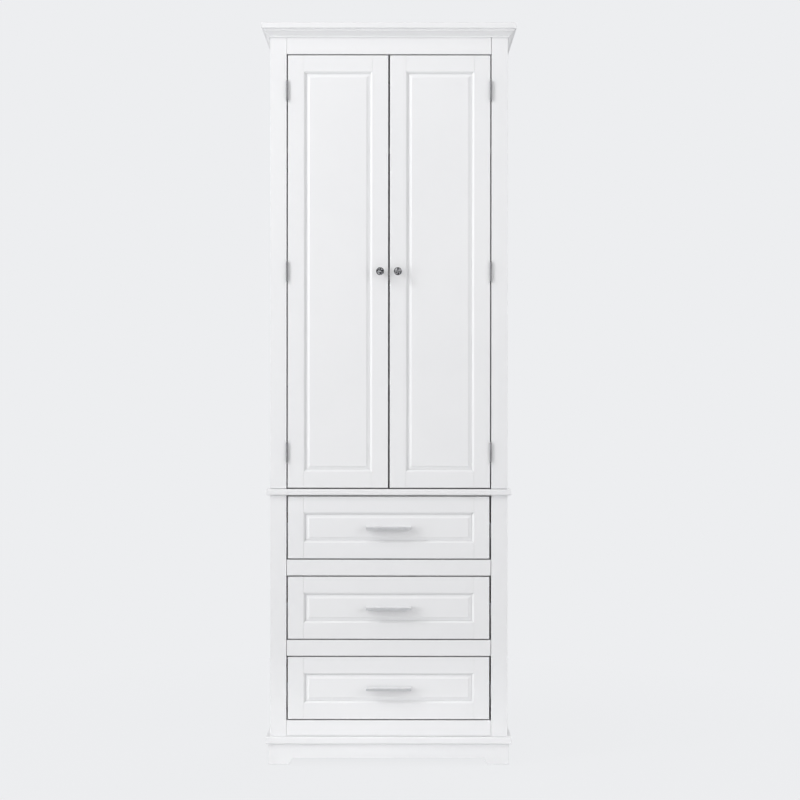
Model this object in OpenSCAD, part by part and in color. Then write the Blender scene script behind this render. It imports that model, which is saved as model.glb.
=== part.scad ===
// Tall bathroom cabinet: two panelled doors over three drawers, on a bracket-foot plinth.
// Millimetres. +Z is up, the front faces -Y and the origin is under the middle of the cabinet.

/* [Cabinet] */
// Width over the side panels
body_w = 570; // [500:1:700]
// Depth from the front of the face frame to the back panels
body_d = 375; // [350:1:450]
// Height of the door opening
door_open_h = 1044; // [930:1:1300]
// Height of each drawer opening
drawer_open_h = 155; // [135:1:220]
// Height of the plinth from the floor to the base board
plinth_h = 52; // [45:1:90]

/* [Boards] */
// Thickness of the side panels
side_t = 15; // [12:1:20]
// Thickness of the back panels
back_t = 4; // [3:0.5:8]
// How far the back panels stop short of the side panels' outer faces
back_inset = 2; // [1:0.5:6]
// Thickness of the base board
base_t = 18; // [12:1:25]
// How far the base board stands out at the front and sides
base_out = 10; // [6:0.5:18]
// Thickness of the moulding board between doors and drawers
mid_t = 15; // [12:1:22]
// How far the moulding board stands out at the front and sides
mid_out = 9; // [5:0.5:16]
// Radius of the nose along the base and moulding boards
nose_r = 4; // [2:0.5:5]
// Radius of the nose along the top board
top_nose_r = 1.5; // [1:0.5:4]
// Thickness of the top board
top_t = 13.5; // [9:0.5:20]
// How far the top board stands out at the front and sides
top_out = 20; // [17:0.5:24]
// Thickness of the shelves
shelf_t = 15; // [12:1:22]

/* [Face frame] */
// Thickness of the face frame
face_t = 18; // [15:1:25]
// Width of the stiles
stile_w = 39; // [34:1:55]
// Height of the rails round the drawers
rail_h = 38; // [25:1:50]
// Height of the frieze that shows above the doors
frieze_h = 40; // [25:1:60]

/* [Crown moulding] */
// Height of the crown moulding under the top board
crown_h = 18.5; // [16:0.5:34]
// Height of the square fillet at the top of the crown moulding
crown_fillet_h = 5; // [4:0.5:8]
// How far that fillet stands out from the face frame
crown_fillet_out = 15; // [12:0.5:16.5]
// Height of the bead at the foot of the crown moulding
crown_bead_h = 3; // [3:0.5:5]
// How far that bead stands out
crown_bead_out = 3.5; // [3:0.5:5]
// How far the cove's foot stands out over the bead
crown_neck_out = 3; // [1.5:0.5:3]
// How far the cove is hollowed behind the line between its two edges
crown_cove_sag = 1; // [0.5:0.1:2]

/* [Plinth] */
// How far the plinth stands out past the side panels and the face frame
plinth_out = 3.5; // [2:0.5:5.5]
// Thickness of the plinth boards
plinth_t = 15; // [12:1:20]
// Height of the cut-outs between the bracket feet, from the plinth's lower edge
cut_h = 15; // [8:1:26]
// Width of each bracket foot at the floor
foot_w = 50; // [45:1:80]
// How much each foot widens up to the top of the cut-out
foot_flare = 8; // [2:1:16]
// Side of the square corner blocks
block_w = 30; // [26:1:30]
// Radius of the floor glides
glide_r = 10; // [7:0.5:12]
// Height of the floor glides below the feet
glide_h = 3; // [2:0.5:6]

/* [Doors and drawer fronts] */
// Thickness of the doors and the drawer fronts
front_t = 18; // [16:1:22]
// Gap round each door and drawer front
front_gap = 3; // [2.8:0.1:4]
// Gap between the two doors
centre_gap = 4; // [3.5:0.1:6]
// Width of the doors' frame members
door_member_w = 38.5; // [34:0.5:60]
// Width of the drawer fronts' frame members
drawer_member_w = 38; // [30:1:42]
// Width of the moulded inner edge of the frame members
stick_w = 5; // [3:0.5:6]
// Depth of the moulded inner edge of the frame members
stick_d = 4; // [2:0.5:4.5]
// How far the raised field lies behind the frame members
field_set = 1.5; // [1:0.5:2]
// Width of the cove round the raised field
cove_w = 9; // [8:0.5:14]
// Height of the raised field over its cove
cove_h = 4; // [3.5:0.5:5]
// Thickness of the panel's thin edge
tongue_t = 6; // [4:0.5:7]
// How far the panel's thin edge reaches into the frame members
tongue_w = 8; // [5:0.5:10]

/* [Hinges] */
// Height of a hinge
hinge_h = 46; // [40:1:60]
// Distance from the middle hinge to the upper and lower ones
hinge_pitch = 434; // [300:1:440]
// Outer radius of the hinge barrel
barrel_r = 3.25; // [3:0.05:3.4]
// Distance of the hinge pin's axis in front of the face frame
hinge_out = 3.5; // [3.5:0.1:4.5]
// Radius of the hinge pin
hinge_pin_r = 1.5; // [1.2:0.1:1.6]
// Thickness of the hinge leaves
leaf_t = 1.2; // [0.8:0.1:1.3]
// Depth of the hinge leaves behind the front of the face frame
leaf_d = 15; // [13:0.5:15.5]
// Radius of the hinge screws' shanks
screw_r = 1.4; // [1.2:0.1:1.7]
// Radius of the hinge screws' heads
screw_head_r = 2.8; // [2.4:0.1:3.2]
// Length of the hinge screws
screw_l = 16; // [12:1:20]

/* [Knobs and pulls] */
// Radius of the door knobs
knob_r = 10; // [8:0.5:14]
// How far the knobs stand out from the doors
knob_out = 25; // [24.5:0.5:34]
// Length of the drawer pulls
pull_w = 108; // [90:1:160]
// How far the pulls stand out from the drawer fronts
pull_out = 22; // [18:0.5:24]
// Height of the drawer pulls
pull_h = 7; // [6:0.5:9]
// Radius along the pulls' front edges
pull_nose_r = 1.5; // [1:0.1:2]
// Distance between a pull's two screws
pull_pitch = 76; // [60:1:82]
// Radius of the knob and pull screws
bolt_r = 2; // [1.8:0.1:2]

/* [Drawer boxes] */
// Thickness of the drawer boxes' boards
box_t = 12; // [10:1:15]
// Height of the drawer boxes
box_h = 110; // [90:1:118]
// Length of the drawer boxes behind the fronts
box_l = 320; // [270:1:330]
// Height of the drawer boxes' underside over the opening's lower edge
box_lift = 14; // [10:1:16]
// Thickness of the drawer bottoms
bottom_t = 5; // [3:0.5:6]
// Height of the drawer bottoms over the boxes' lower edge
bottom_lift = 8; // [6:1:12]
// Depth of the groove for the drawer bottoms
groove_d = 6; // [4:0.5:8]

/* [Drawer runners] */
// Width of the runners, beside the drawer boxes
runner_w = 12.5; // [12:0.5:15]
// Height of the cabinet runners
runner_h = 35; // [30:1:46]
// Wall thickness of the runners
runner_t = 1.2; // [1:0.1:1.6]
// Length of the cabinet runners
runner_l = 320; // [280:1:325]
// Running clearance between the two parts of a runner
runner_play = 0.4; // [0.3:0.1:0.8]

/* [Shelves and fittings] */
// Radius of the shelf pins
pin_r = 2.5; // [2:0.1:3]
// Distance of the shelf pins from the side panels' front and back edges
pin_inset = 40; // [35:1:60]
// Pitch of the shelf-pin holes
pin_pitch = 32; // [20:1:40]
// Number of holes in each row of shelf-pin holes
pin_rows = 5; // [1:2:5]
// Depth of the shelf-pin holes
pin_depth = 9; // [7:0.5:10]
// How far the shelf pins stand out under the shelves
pin_out = 8; // [5:0.5:12]
// Gap between the adjustable shelves and the boards round them
shelf_play = 1; // [0.5:0.1:2]
// Gap between the doors' backs and the shelves' front edges
shelf_gap = 2; // [1.8:0.1:6]
// Height of the wall rail
wall_rail_h = 60; // [45:1:80]
// Thickness of the wall rail
wall_rail_t = 15; // [12:1:18]
// Distance between the wall rail's screw holes
wall_pitch = 400; // [300:1:420]
// Radius of the wall rail's screw holes
wall_hole_r = 2.75; // [2.5:0.05:3.5]
// Width of the magnet catch's housing
catch_w = 48; // [44:1:60]
// Depth of the magnet catch's housing
catch_d = 16; // [12:1:24]
// Height of the magnet catch's housing
catch_h = 12; // [10:1:14]
// Side of the strike plates on the doors
strike_w = 12; // [10:1:13]
// Thickness of the strike plates
strike_t = 1.2; // [1:0.1:1.4]

/* [Hidden] */

// Finishes as the photograph shows them
paint_white = "whitesmoke";
inside_white = "white";
raw_wood = "burlywood";
metal_satin = "silver";
metal_bright = "slategray";
metal_zinc = "lightgray";
plastic_grey = "gray";

// How far every cut runs past the face that it goes through
over = 1;
// Gap left at a glued joint between two members of one frame or box
joint_gap = 0.15;
// Play round a piece that slides into a groove, a hole or a seat
play = 0.2;
// Radial running clearance of the hinge pins
pin_play = 0.05;
// Gap between a magnet and its strike plate
magnet_gap = 0.4;
// Facets of small and of large round shapes
small_fn = 32;
large_fn = 64;

// Depth: the knobs or the top board reach furthest forward, and the box is centred on Y = 0
reach_out = max(knob_out, top_out, pull_out);
back_y = (body_d + reach_out) / 2;
face_y = back_y - body_d;
face_back_y = face_y + face_t;
door_back_y = face_y + front_t;
panel_y = back_y - back_t;

// Levels, from the floor up
floor_z = plinth_h + base_t;
function drawer_z(level) = floor_z + rail_h + level * (drawer_open_h + rail_h);
top_level = 2;
mid_z = drawer_z(top_level) + drawer_open_h;
door_z = mid_z + mid_t;
frieze_z = door_z + door_open_h;
crown_z = frieze_z + frieze_h;
top_z = crown_z + crown_h;
door_mid_z = door_z + door_open_h / 2;

// Widths
half_w = body_w / 2;
inner_w = body_w - 2 * side_t;
open_w = body_w - 2 * stile_w;
jamb_x = open_w / 2;
door_w = (open_w - 2 * front_gap - centre_gap) / 2;
door_h = door_open_h - 2 * front_gap;
drawer_w = open_w - 2 * front_gap;
drawer_h = drawer_open_h - 2 * front_gap;

// Shelves: the fixed one is at the doors' middle, the others halfway above and below it
shelf_y = door_back_y + shelf_gap;
shelf_d = panel_y - shelf_y;
fixed_shelf_z = door_mid_z - shelf_t / 2;
lower_shelf_z = (door_z + fixed_shelf_z - shelf_t) / 2;
upper_shelf_z = (fixed_shelf_z + shelf_t + top_z - shelf_t) / 2;

// Hinge places
hinge_x = jamb_x - front_gap / 2;
hinge_y = face_y - hinge_out;
knuckles = 5;
knuckle_h = hinge_h / knuckles;
knuckle_play = 0.3;
knuckle_bore_r = hinge_pin_r + pin_play;
plate_y = hinge_y + barrel_r + knuckle_play;
plate_end_y = face_y + leaf_d;
screw_rise = hinge_h / 4;
screw_y = (face_y + plate_end_y) / 2;
pin_tip_r = barrel_r - knuckle_play;
pin_tip_h = hinge_pin_r;

// Drawer boxes and runners
box_w = open_w - 2 * runner_w;
box_y = door_back_y;
packer_h = runner_h + 2 * runner_t;
slide_h = runner_h - 2 * runner_t - 2 * runner_play;
slide_w = runner_w - runner_t - runner_play;
pull_y = face_y + field_set;
hollow_share = 0.15;

// A block with its low corner at the given point
module board(x, y, z, w, d, h) {
    translate([x, y, z]) cube([w, d, h]);
}

// A cylinder along X, Y or Z from the given point
module rod_x(p, r, l) { translate(p) rotate([0, 90, 0]) cylinder(r = r, h = l, $fn = small_fn); }
module rod_y(p, r, l) { translate(p) rotate([-90, 0, 0]) cylinder(r = r, h = l, $fn = small_fn); }
module rod_z(p, r, l) { translate(p) cylinder(r = r, h = l, $fn = small_fn); }

// Repeats its children on both sides of the cabinet's middle plane
module both_sides() {
    children();
    mirror([1, 0, 0]) children();
}

// Full-depth board whose front and side edges are rounded above and below
module nosed_board(z, t, out, nose) {
    w = body_w + 2 * out;
    r = min(nose, t / 2 - play);
    front_y = face_y - out;
    translate([0, 0, z]) difference() {
        board(-w / 2, front_y, 0, w, back_y - front_y, t);
        for (edge_z = [0, t]) {
            into = edge_z == 0 ? r : t - r;
            low = edge_z == 0 ? -over : t - r;
            difference() {
                board(-w / 2 - over, front_y - over, low, w + 2 * over, r + over, r + over);
                rod_x([-w / 2 - 2 * over, front_y + r, into], r, w + 4 * over);
            }
            both_sides() difference() {
                board(-w / 2 - over, front_y - over, low, r + over,
                      back_y - front_y + 2 * over, r + over);
                rod_y([-w / 2 + r, front_y - 2 * over, into], r, back_y - front_y + 4 * over);
            }
        }
    }
}

// Outline of a plinth board of width w with its cut-out between two bracket feet
module plinth_outline(w, foot) {
    difference() {
        translate([-w / 2, glide_h]) square([w, plinth_h - glide_h]);
        polygon([
            [-w / 2 + foot, glide_h - over],
            [-w / 2 + foot, glide_h],
            [-w / 2 + foot + foot_flare, glide_h + cut_h],
            [w / 2 - foot - foot_flare, glide_h + cut_h],
            [w / 2 - foot, glide_h],
            [w / 2 - foot, glide_h - over]
        ]);
    }
}

plinth_w = body_w + 2 * plinth_out;
plinth_y = face_y - plinth_out;
plinth_side_d = back_y - plinth_y - plinth_t;

module plinth_front() {
    color(paint_white) translate([0, plinth_y + plinth_t, 0]) rotate([90, 0, 0])
        linear_extrude(plinth_t) plinth_outline(plinth_w, foot_w);
}

// The side boards butt against the back of the front board and share its foot width there
module plinth_side() {
    side_foot = foot_w - plinth_t;
    translate([plinth_w / 2 - plinth_t, plinth_y + plinth_t, 0])
        rotate([90, 0, 90]) linear_extrude(plinth_t) difference() {
            translate([0, glide_h]) square([plinth_side_d, plinth_h - glide_h]);
            polygon([
                [side_foot, glide_h - over],
                [side_foot, glide_h],
                [side_foot + foot_flare, glide_h + cut_h],
                [plinth_side_d - foot_w - foot_flare, glide_h + cut_h],
                [plinth_side_d - foot_w, glide_h],
                [plinth_side_d - foot_w, glide_h - over]
            ]);
        }
}

module plinth_right() { color(paint_white) plinth_side(); }
module plinth_left() { color(paint_white) mirror([1, 0, 0]) plinth_side(); }

module plinth_back() {
    w = plinth_w - 2 * plinth_t;
    color(raw_wood)
        board(-w / 2, back_y - plinth_t, glide_h + cut_h, w, plinth_t, plinth_h - glide_h - cut_h);
}

// Places of the four corner blocks' centres
block_x = plinth_w / 2 - plinth_t - block_w / 2;
block_front_y = plinth_y + plinth_t + block_w / 2;
block_back_y = back_y - plinth_t - block_w / 2;

module foot_blocks() {
    color(raw_wood) both_sides() for (y = [block_front_y, block_back_y])
        board(block_x - block_w / 2, y - block_w / 2, glide_h, block_w, block_w, plinth_h - glide_h);
}

module floor_glides() {
    color(plastic_grey) both_sides() for (y = [block_front_y, block_back_y])
        rod_z([block_x, y, 0], glide_r, glide_h);
}

module base_board() { color(paint_white) nosed_board(plinth_h, base_t, base_out, nose_r); }
module mid_board() { color(paint_white) nosed_board(mid_z, mid_t, mid_out, nose_r); }

module top_board() { color(paint_white) nosed_board(top_z, top_t, top_out, top_nose_r); }

// Side panel on the right between two levels
module side_panel(low, high) {
    board(half_w - side_t, face_back_y, low, side_t, panel_y - face_back_y, high - low);
}

module lower_side_right() { color(paint_white) side_panel(floor_z, mid_z); }
module lower_side_left() { color(paint_white) mirror([1, 0, 0]) side_panel(floor_z, mid_z); }

pin_front_y = shelf_y + pin_inset;
pin_back_y = panel_y - pin_inset;
pin_drop = pin_r + play;

// Centres of the shelf pins' rows, one for each adjustable shelf
pin_levels = [lower_shelf_z - pin_drop, upper_shelf_z - pin_drop];

module upper_side() {
    first = -(pin_rows - 1) / 2;
    difference() {
        side_panel(door_z, top_z);
        for (z = pin_levels) for (y = [pin_front_y, pin_back_y])
            for (row = [first:1:-first])
                rod_x([half_w - side_t - over, y, z + row * pin_pitch], pin_r + play, pin_depth + over);
    }
}

module upper_side_right() { color(paint_white) upper_side(); }
module upper_side_left() { color(paint_white) mirror([1, 0, 0]) upper_side(); }

// Face frame stile on the right between two levels
module stile(low, high) {
    board(half_w - stile_w, face_y, low, stile_w, face_t, high - low);
}

module lower_stiles() { color(paint_white) both_sides() stile(floor_z, mid_z); }

module upper_stiles() {
    color(paint_white) both_sides() difference() {
        stile(door_z, top_z);
        hinge_screw_places() rod_x([jamb_x - over, 0, 0], screw_r + play, screw_l + play + over);
    }
}

module lower_rails() {
    color(paint_white) {
        for (level = [0:1:top_level])
            board(-jamb_x, face_y, drawer_z(level) - rail_h, open_w, face_t, rail_h);
    }
}

module frieze_rail() {
    color(paint_white) board(-jamb_x, face_y, frieze_z, open_w, face_t, top_z - frieze_z);
}

back_w = body_w - 2 * back_inset;

module lower_back() {
    color(inside_white) board(-back_w / 2, panel_y, floor_z, back_w, back_t, mid_z - floor_z);
}

module upper_back() {
    color(inside_white) difference() {
        board(-back_w / 2, panel_y, door_z, back_w, back_t, top_z - door_z);
        wall_holes();
    }
}

wall_rail_z = top_z - wall_rail_h;

// The two holes for the screws that tie the cabinet to the wall
module wall_holes() {
    both_sides() rod_y([wall_pitch / 2, panel_y - wall_rail_t - over, wall_rail_z + wall_rail_h / 2],
                       wall_hole_r, wall_rail_t + back_t + 2 * over);
}

module wall_rail() {
    color(inside_white) difference() {
        board(-inner_w / 2, panel_y - wall_rail_t, wall_rail_z, inner_w, wall_rail_t, wall_rail_h);
        wall_holes();
    }
}

// Section of the crown moulding: out from the face along X and up along Y
module crown_section() {
    cove = [crown_fillet_out - crown_neck_out, crown_h - crown_fillet_h - crown_bead_h];
    chord = norm(cove);
    cove_r = (chord * chord / 4 + crown_cove_sag * crown_cove_sag) / (2 * crown_cove_sag);
    centre = cove / 2 + (cove_r - crown_cove_sag) / chord * [cove[1], -cove[0]];
    union() {
        square([crown_bead_out, crown_bead_h]);
        translate([0, crown_h - crown_fillet_h]) square([crown_fillet_out, crown_fillet_h]);
        difference() {
            translate([0, crown_bead_h - play]) square([crown_fillet_out - play, cove[1] + 2 * play]);
            translate(centre + [crown_neck_out - play, crown_bead_h]) circle(r = cove_r, $fn = large_fn);
            translate([crown_neck_out - play, -over]) square([crown_fillet_out, crown_bead_h + over]);
        }
    }
}

// Front length with both ends mitred, and a side length with its front end mitred
module crown_moulding() {
    reach = half_w + crown_fillet_out;
    cut = 2 * reach;
    color(paint_white) {
        intersection() {
            translate([-reach, face_y, crown_z]) rotate([90, 0, 90])
                linear_extrude(2 * reach) mirror([1, 0, 0]) crown_section();
            translate([0, face_y, crown_z - over]) linear_extrude(crown_h + 2 * over)
                polygon([
                    [-half_w, 0], [half_w, 0],
                    [half_w + cut, -cut], [-half_w - cut, -cut]
                ]);
        }
        both_sides() intersection() {
            translate([half_w, back_y, crown_z]) rotate([90, 0, 0])
                linear_extrude(body_d + crown_fillet_out) crown_section();
            translate([half_w, face_y, crown_z - over]) linear_extrude(crown_h + 2 * over)
                polygon([
                    [0, joint_gap], [cut, joint_gap - cut],
                    [cut, cut], [0, cut]
                ]);
        }
    }
}

module fixed_shelf() {
    color(inside_white) board(-inner_w / 2, shelf_y, fixed_shelf_z, inner_w, shelf_d, shelf_t);
}

module adjustable_shelves() {
    w = inner_w - 2 * shelf_play;
    color(inside_white) for (z = [lower_shelf_z, upper_shelf_z])
        board(-w / 2, shelf_y + shelf_play, z, w, shelf_d - 2 * shelf_play, shelf_t);
}

module shelf_pins() {
    color(metal_zinc) both_sides() for (z = pin_levels) for (y = [pin_front_y, pin_back_y])
        rod_x([inner_w / 2 - pin_out, y, z], pin_r, pin_out + pin_depth - play);
}

// Moves its children in Y and Z to each hinge screw of the right side
module hinge_screw_places() {
    for (step = [-1:1:1]) for (side = [-1, 1])
        translate([0, screw_y, door_mid_z + step * hinge_pitch + side * screw_rise]) children();
}

// Knuckles with the given parity, round the right hinge axis
module knuckle_row(parity) {
    for (index = [parity:2:knuckles - 1])
        translate([hinge_x, hinge_y, index * knuckle_h + knuckle_play / 2])
            cylinder(r = barrel_r, h = knuckle_h - knuckle_play, $fn = small_fn);
}

// One leaf on the right side: its plate starts at plate_x, and its tabs reach the knuckles
module leaf(parity, plate_x) {
    tab_mid_r = (barrel_r + knuckle_bore_r) / 2;
    tab_y = hinge_y + sqrt(max(0, tab_mid_r * tab_mid_r - front_gap * front_gap / 4));
    difference() {
        union() {
            knuckle_row(parity);
            board(plate_x, plate_y, 0, leaf_t, plate_end_y - plate_y, hinge_h);
            for (index = [parity:2:knuckles - 1])
                board(plate_x, tab_y, index * knuckle_h + knuckle_play / 2,
                      leaf_t, plate_y - tab_y + play, knuckle_h - knuckle_play);
        }
        rod_z([hinge_x, hinge_y, -over], knuckle_bore_r, hinge_h + 2 * over);
    }
}

// Conical seat of a hinge screw, its wide end at x = 0 and its shank along +X
module screw_cone(grow) {
    rotate([0, 90, 0]) cylinder(r1 = screw_head_r + grow, r2 = screw_r + grow, h = leaf_t,
                                $fn = small_fn);
}

module hinge_frame_leaves() {
    plate_x = jamb_x - leaf_t;
    color(metal_satin) both_sides() difference() {
        for (step = [-1:1:1])
            translate([0, 0, door_mid_z + step * hinge_pitch - hinge_h / 2]) leaf(0, plate_x);
        hinge_screw_places() {
            translate([plate_x, 0, 0]) screw_cone(play);
            rod_x([plate_x - over, 0, 0], screw_r + play, leaf_t + 2 * over);
        }
    }
}

module hinge_frame_screws() {
    plate_x = jamb_x - leaf_t;
    color(metal_satin) both_sides() hinge_screw_places() {
        translate([plate_x, 0, 0]) screw_cone(0);
        rod_x([plate_x + leaf_t / 2, 0, 0], screw_r, screw_l - leaf_t / 2);
    }
}

module hinge_pins() {
    color(metal_bright) both_sides() for (step = [-1:1:1])
        translate([hinge_x, hinge_y, door_mid_z + step * hinge_pitch - hinge_h / 2]) {
            rod_z([0, 0, -pin_tip_h], hinge_pin_r, hinge_h + 2 * pin_tip_h);
            for (z = [-pin_tip_h, hinge_h])
                rod_z([0, 0, z], pin_tip_r, pin_tip_h);
        }
}

strike_x = centre_gap / 2 + door_member_w / 4;
strike_z = fixed_shelf_z - catch_h / 2;
catch_y = door_back_y + strike_t + magnet_gap;

module magnet_catch() {
    color(plastic_grey) difference() {
        board(-catch_w / 2, catch_y, fixed_shelf_z - catch_h, catch_w, catch_d, catch_h);
        for (x = [-strike_x, strike_x])
            board(x - strike_w / 4, catch_y - over, fixed_shelf_z - catch_h - over,
                  strike_w / 2, over + play, catch_h + 2 * over);
    }
}

// A frame member along X, its moulded edge towards +Z and its front at y = 0. The moulded
// strip is mitred, and stops short of both ends by stop
module moulded_member(length, width, stop) {
    difference() {
        translate([0, front_t, 0]) rotate([90, 0, 0]) linear_extrude(front_t) {
            square([length, width]);
            polygon([
                [stop, width - play], [length - stop, width - play], [length - stop, width],
                [length - stop - stick_w, width + stick_w], [stop + stick_w, width + stick_w],
                [stop, width]
            ]);
        }
        translate([-over, 0, 0]) rotate([90, 0, 90]) linear_extrude(length + 2 * over)
            polygon([
                [-over, width], [0, width], [stick_d, width + stick_w],
                [stick_d, width + stick_w + over], [-over, width + stick_w + over]
            ]);
    }
}

// Pocket that holds a panel in its frame
module panel_pocket(w, h, member, grow) {
    inset = member + stick_w - tongue_w - grow;
    tongue_y = field_set + cove_h;
    board(inset, tongue_y - grow, inset, w - 2 * inset, tongue_t + 2 * grow, h - 2 * inset);
}

// Two stiles that run full height and two rails between them, as four solids
module front_frame(w, h, member) {
    rail_l = w - 2 * member - 2 * joint_gap;
    difference() {
        union() {
            translate([member + joint_gap, 0, 0]) moulded_member(rail_l, member, 0);
            translate([member + joint_gap, 0, h]) mirror([0, 0, 1]) moulded_member(rail_l, member, 0);
        }
        panel_pocket(w, h, member, play);
    }
    for (side = [0, 1])
        translate([side * w, 0, 0]) mirror([side, 0, 0]) difference() {
            mirror([1, 0, -1]) moulded_member(h, member, member + joint_gap);
            panel_pocket(w, h, member, play);
        }
}

// Raised panel: a thin edge all round, and a field with a coved margin
module raised_panel(w, h, member) {
    tongue_y = field_set + cove_h;
    margin = member + stick_w;
    lip = play;
    cove_r = (cove_w * cove_w + (cove_h - lip) * (cove_h - lip)) / (2 * (cove_h - lip));
    axis_y = tongue_y - lip - cove_r;
    panel_pocket(w, h, member, 0);
    difference() {
        board(margin, field_set, margin, w - 2 * margin, cove_h + play, h - 2 * margin);
        for (side = [0, 1]) {
            translate([side * w, 0, 0]) mirror([side, 0, 0])
                translate([margin, axis_y, -over]) cylinder(r = cove_r, h = h + 2 * over, $fn = large_fn);
            translate([0, 0, side * h]) mirror([0, 0, side])
                translate([-over, axis_y, margin]) rotate([0, 90, 0])
                    cylinder(r = cove_r, h = w + 2 * over, $fn = large_fn);
        }
    }
}

// Moves its children, drawn for the right door, to the door's place
module at_door() { translate([centre_gap / 2, face_y, door_z + front_gap]) children(); }

knob_x = centre_gap / 2 + door_member_w / 2;
door_bolt_l = front_t + knob_out / 2;

module door_frame() {
    difference() {
        at_door() front_frame(door_w, door_h, door_member_w);
        rod_y([knob_x, face_y - over, door_mid_z], bolt_r + play, front_t + 2 * over);
        hinge_screw_places()
            mirror([1, 0, 0]) rod_x([front_gap - jamb_x - over, 0, 0], screw_r + play,
                                    screw_l + play + over);
        rod_y([strike_x, door_back_y - front_t / 2, strike_z], screw_r + play, front_t / 2 + over);
    }
}

module door_panel() { at_door() raised_panel(door_w, door_h, door_member_w); }

module door_hinge_leaves() {
    plate_x = jamb_x - front_gap;
    difference() {
        for (step = [-1:1:1])
            translate([0, 0, door_mid_z + step * hinge_pitch - hinge_h / 2]) leaf(1, plate_x);
        hinge_screw_places() {
            translate([plate_x + leaf_t, 0, 0]) mirror([1, 0, 0]) screw_cone(play);
            rod_x([plate_x - over, 0, 0], screw_r + play, leaf_t + 2 * over);
        }
    }
}

// Knob section: radius as a share of the knob's radius, height as a share of its reach
knob_share = [
    [0, 0], [0.62, 0], [0.62, 0.05], [0.42, 0.1], [0.36, 0.3], [0.42, 0.46], [0.86, 0.52],
    [1, 0.6], [1, 0.72], [0.9, 0.78], [0.74, 0.8], [0.72, 0.86], [0.5, 0.9], [0.3, 0.92],
    [0.28, 0.97], [0.12, 1], [0, 1]
];

module door_knob() {
    difference() {
        translate([knob_x, face_y, door_mid_z]) rotate([90, 0, 0]) rotate_extrude($fn = large_fn)
            polygon([for (p = knob_share) [p[0] * knob_r, p[1] * knob_out]]);
        rod_y([knob_x, face_y - knob_out / 2 - play, door_mid_z], bolt_r + pin_play,
              knob_out / 2 + play + over);
    }
}

module door_strike() {
    difference() {
        board(strike_x - strike_w / 2, door_back_y, strike_z - strike_w / 2, strike_w, strike_t, strike_w);
        translate([strike_x, door_back_y - play, strike_z]) rotate([-90, 0, 0])
            cylinder(r1 = screw_r, r2 = screw_head_r + play, h = strike_t + 2 * play, $fn = small_fn);
        rod_y([strike_x, door_back_y - over, strike_z], screw_r + play, strike_t + 2 * over);
    }
}

// Six hinge screws, the knob's screw and the strike plate's screw
module door_screws() {
    plate_x = jamb_x - front_gap;
    hinge_screw_places() {
        translate([plate_x + leaf_t, 0, 0]) mirror([1, 0, 0]) screw_cone(0);
        mirror([1, 0, 0]) rod_x([-plate_x - leaf_t / 2, 0, 0], screw_r, screw_l - leaf_t / 2);
    }
    rod_y([knob_x, door_back_y - door_bolt_l, door_mid_z], bolt_r, door_bolt_l);
    rod_y([knob_x, door_back_y, door_mid_z], 2 * bolt_r, strike_t);
    rod_y([strike_x, door_back_y + strike_t - front_t / 2, strike_z], screw_r, front_t / 2 - strike_t / 2);
    translate([strike_x, door_back_y, strike_z]) rotate([-90, 0, 0])
        cylinder(r1 = screw_r, r2 = screw_head_r, h = strike_t, $fn = small_fn);
}

module door_right_frame() { color(paint_white) door_frame(); }
module door_right_panel() { color(paint_white) door_panel(); }
module door_right_hinge_leaves() { color(metal_satin) door_hinge_leaves(); }
module door_right_knob() { color(metal_bright) door_knob(); }
module door_right_strike() { color(metal_zinc) door_strike(); }
module door_right_screws() { color(metal_zinc) door_screws(); }
module door_left_frame() { mirror([1, 0, 0]) door_right_frame(); }
module door_left_panel() { mirror([1, 0, 0]) door_right_panel(); }
module door_left_hinge_leaves() { mirror([1, 0, 0]) door_right_hinge_leaves(); }
module door_left_knob() { mirror([1, 0, 0]) door_right_knob(); }
module door_left_strike() { mirror([1, 0, 0]) door_right_strike(); }
module door_left_screws() { mirror([1, 0, 0]) door_right_screws(); }

// Middle height of a drawer's runners and of its pull
function slide_z(level) = drawer_z(level) + box_lift + box_h / 2;
function pull_z(level) = drawer_z(level) + drawer_open_h / 2;

packer_w = inner_w / 2 - jamb_x;

module runner_packers() {
    color(raw_wood) both_sides() for (level = [0:1:top_level])
        board(jamb_x, face_back_y, slide_z(level) - packer_h / 2,
              packer_w, panel_y - face_back_y, packer_h);
}

// Channel whose web stands at x = 0 and whose flanges reach along -X
module channel(w, l, h) {
    difference() {
        board(-w, 0, -h / 2, w, l, h);
        board(-w - over, -over, -h / 2 + runner_t, w - runner_t + over, l + 2 * over, h - 2 * runner_t);
    }
}

module cabinet_runners() {
    color(metal_zinc) both_sides() for (level = [0:1:top_level])
        translate([jamb_x, face_back_y, slide_z(level)])
            channel(runner_w - runner_play, runner_l, runner_h);
}

// Moves its children, drawn for one drawer front, to the drawer's place
module at_drawer(level) { translate([-drawer_w / 2, face_y, drawer_z(level) + front_gap]) children(); }

module drawer_frame(level) {
    color(paint_white) at_drawer(level) front_frame(drawer_w, drawer_h, drawer_member_w);
}

pull_bolt_in = pull_out / 2;

// The two screws that hold a pull, as shanks or, longer by lead at the tip, as holes
module pull_bolts(level, r, lead) {
    both_sides() rod_y([pull_pitch / 2, face_y - pull_bolt_in - lead, pull_z(level)], r,
                       lead + pull_bolt_in + front_t + box_t + lead);
}

module drawer_panel(level) {
    color(paint_white) difference() {
        at_drawer(level) raised_panel(drawer_w, drawer_h, drawer_member_w);
        pull_bolts(level, bolt_r + play, over);
    }
}

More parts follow.
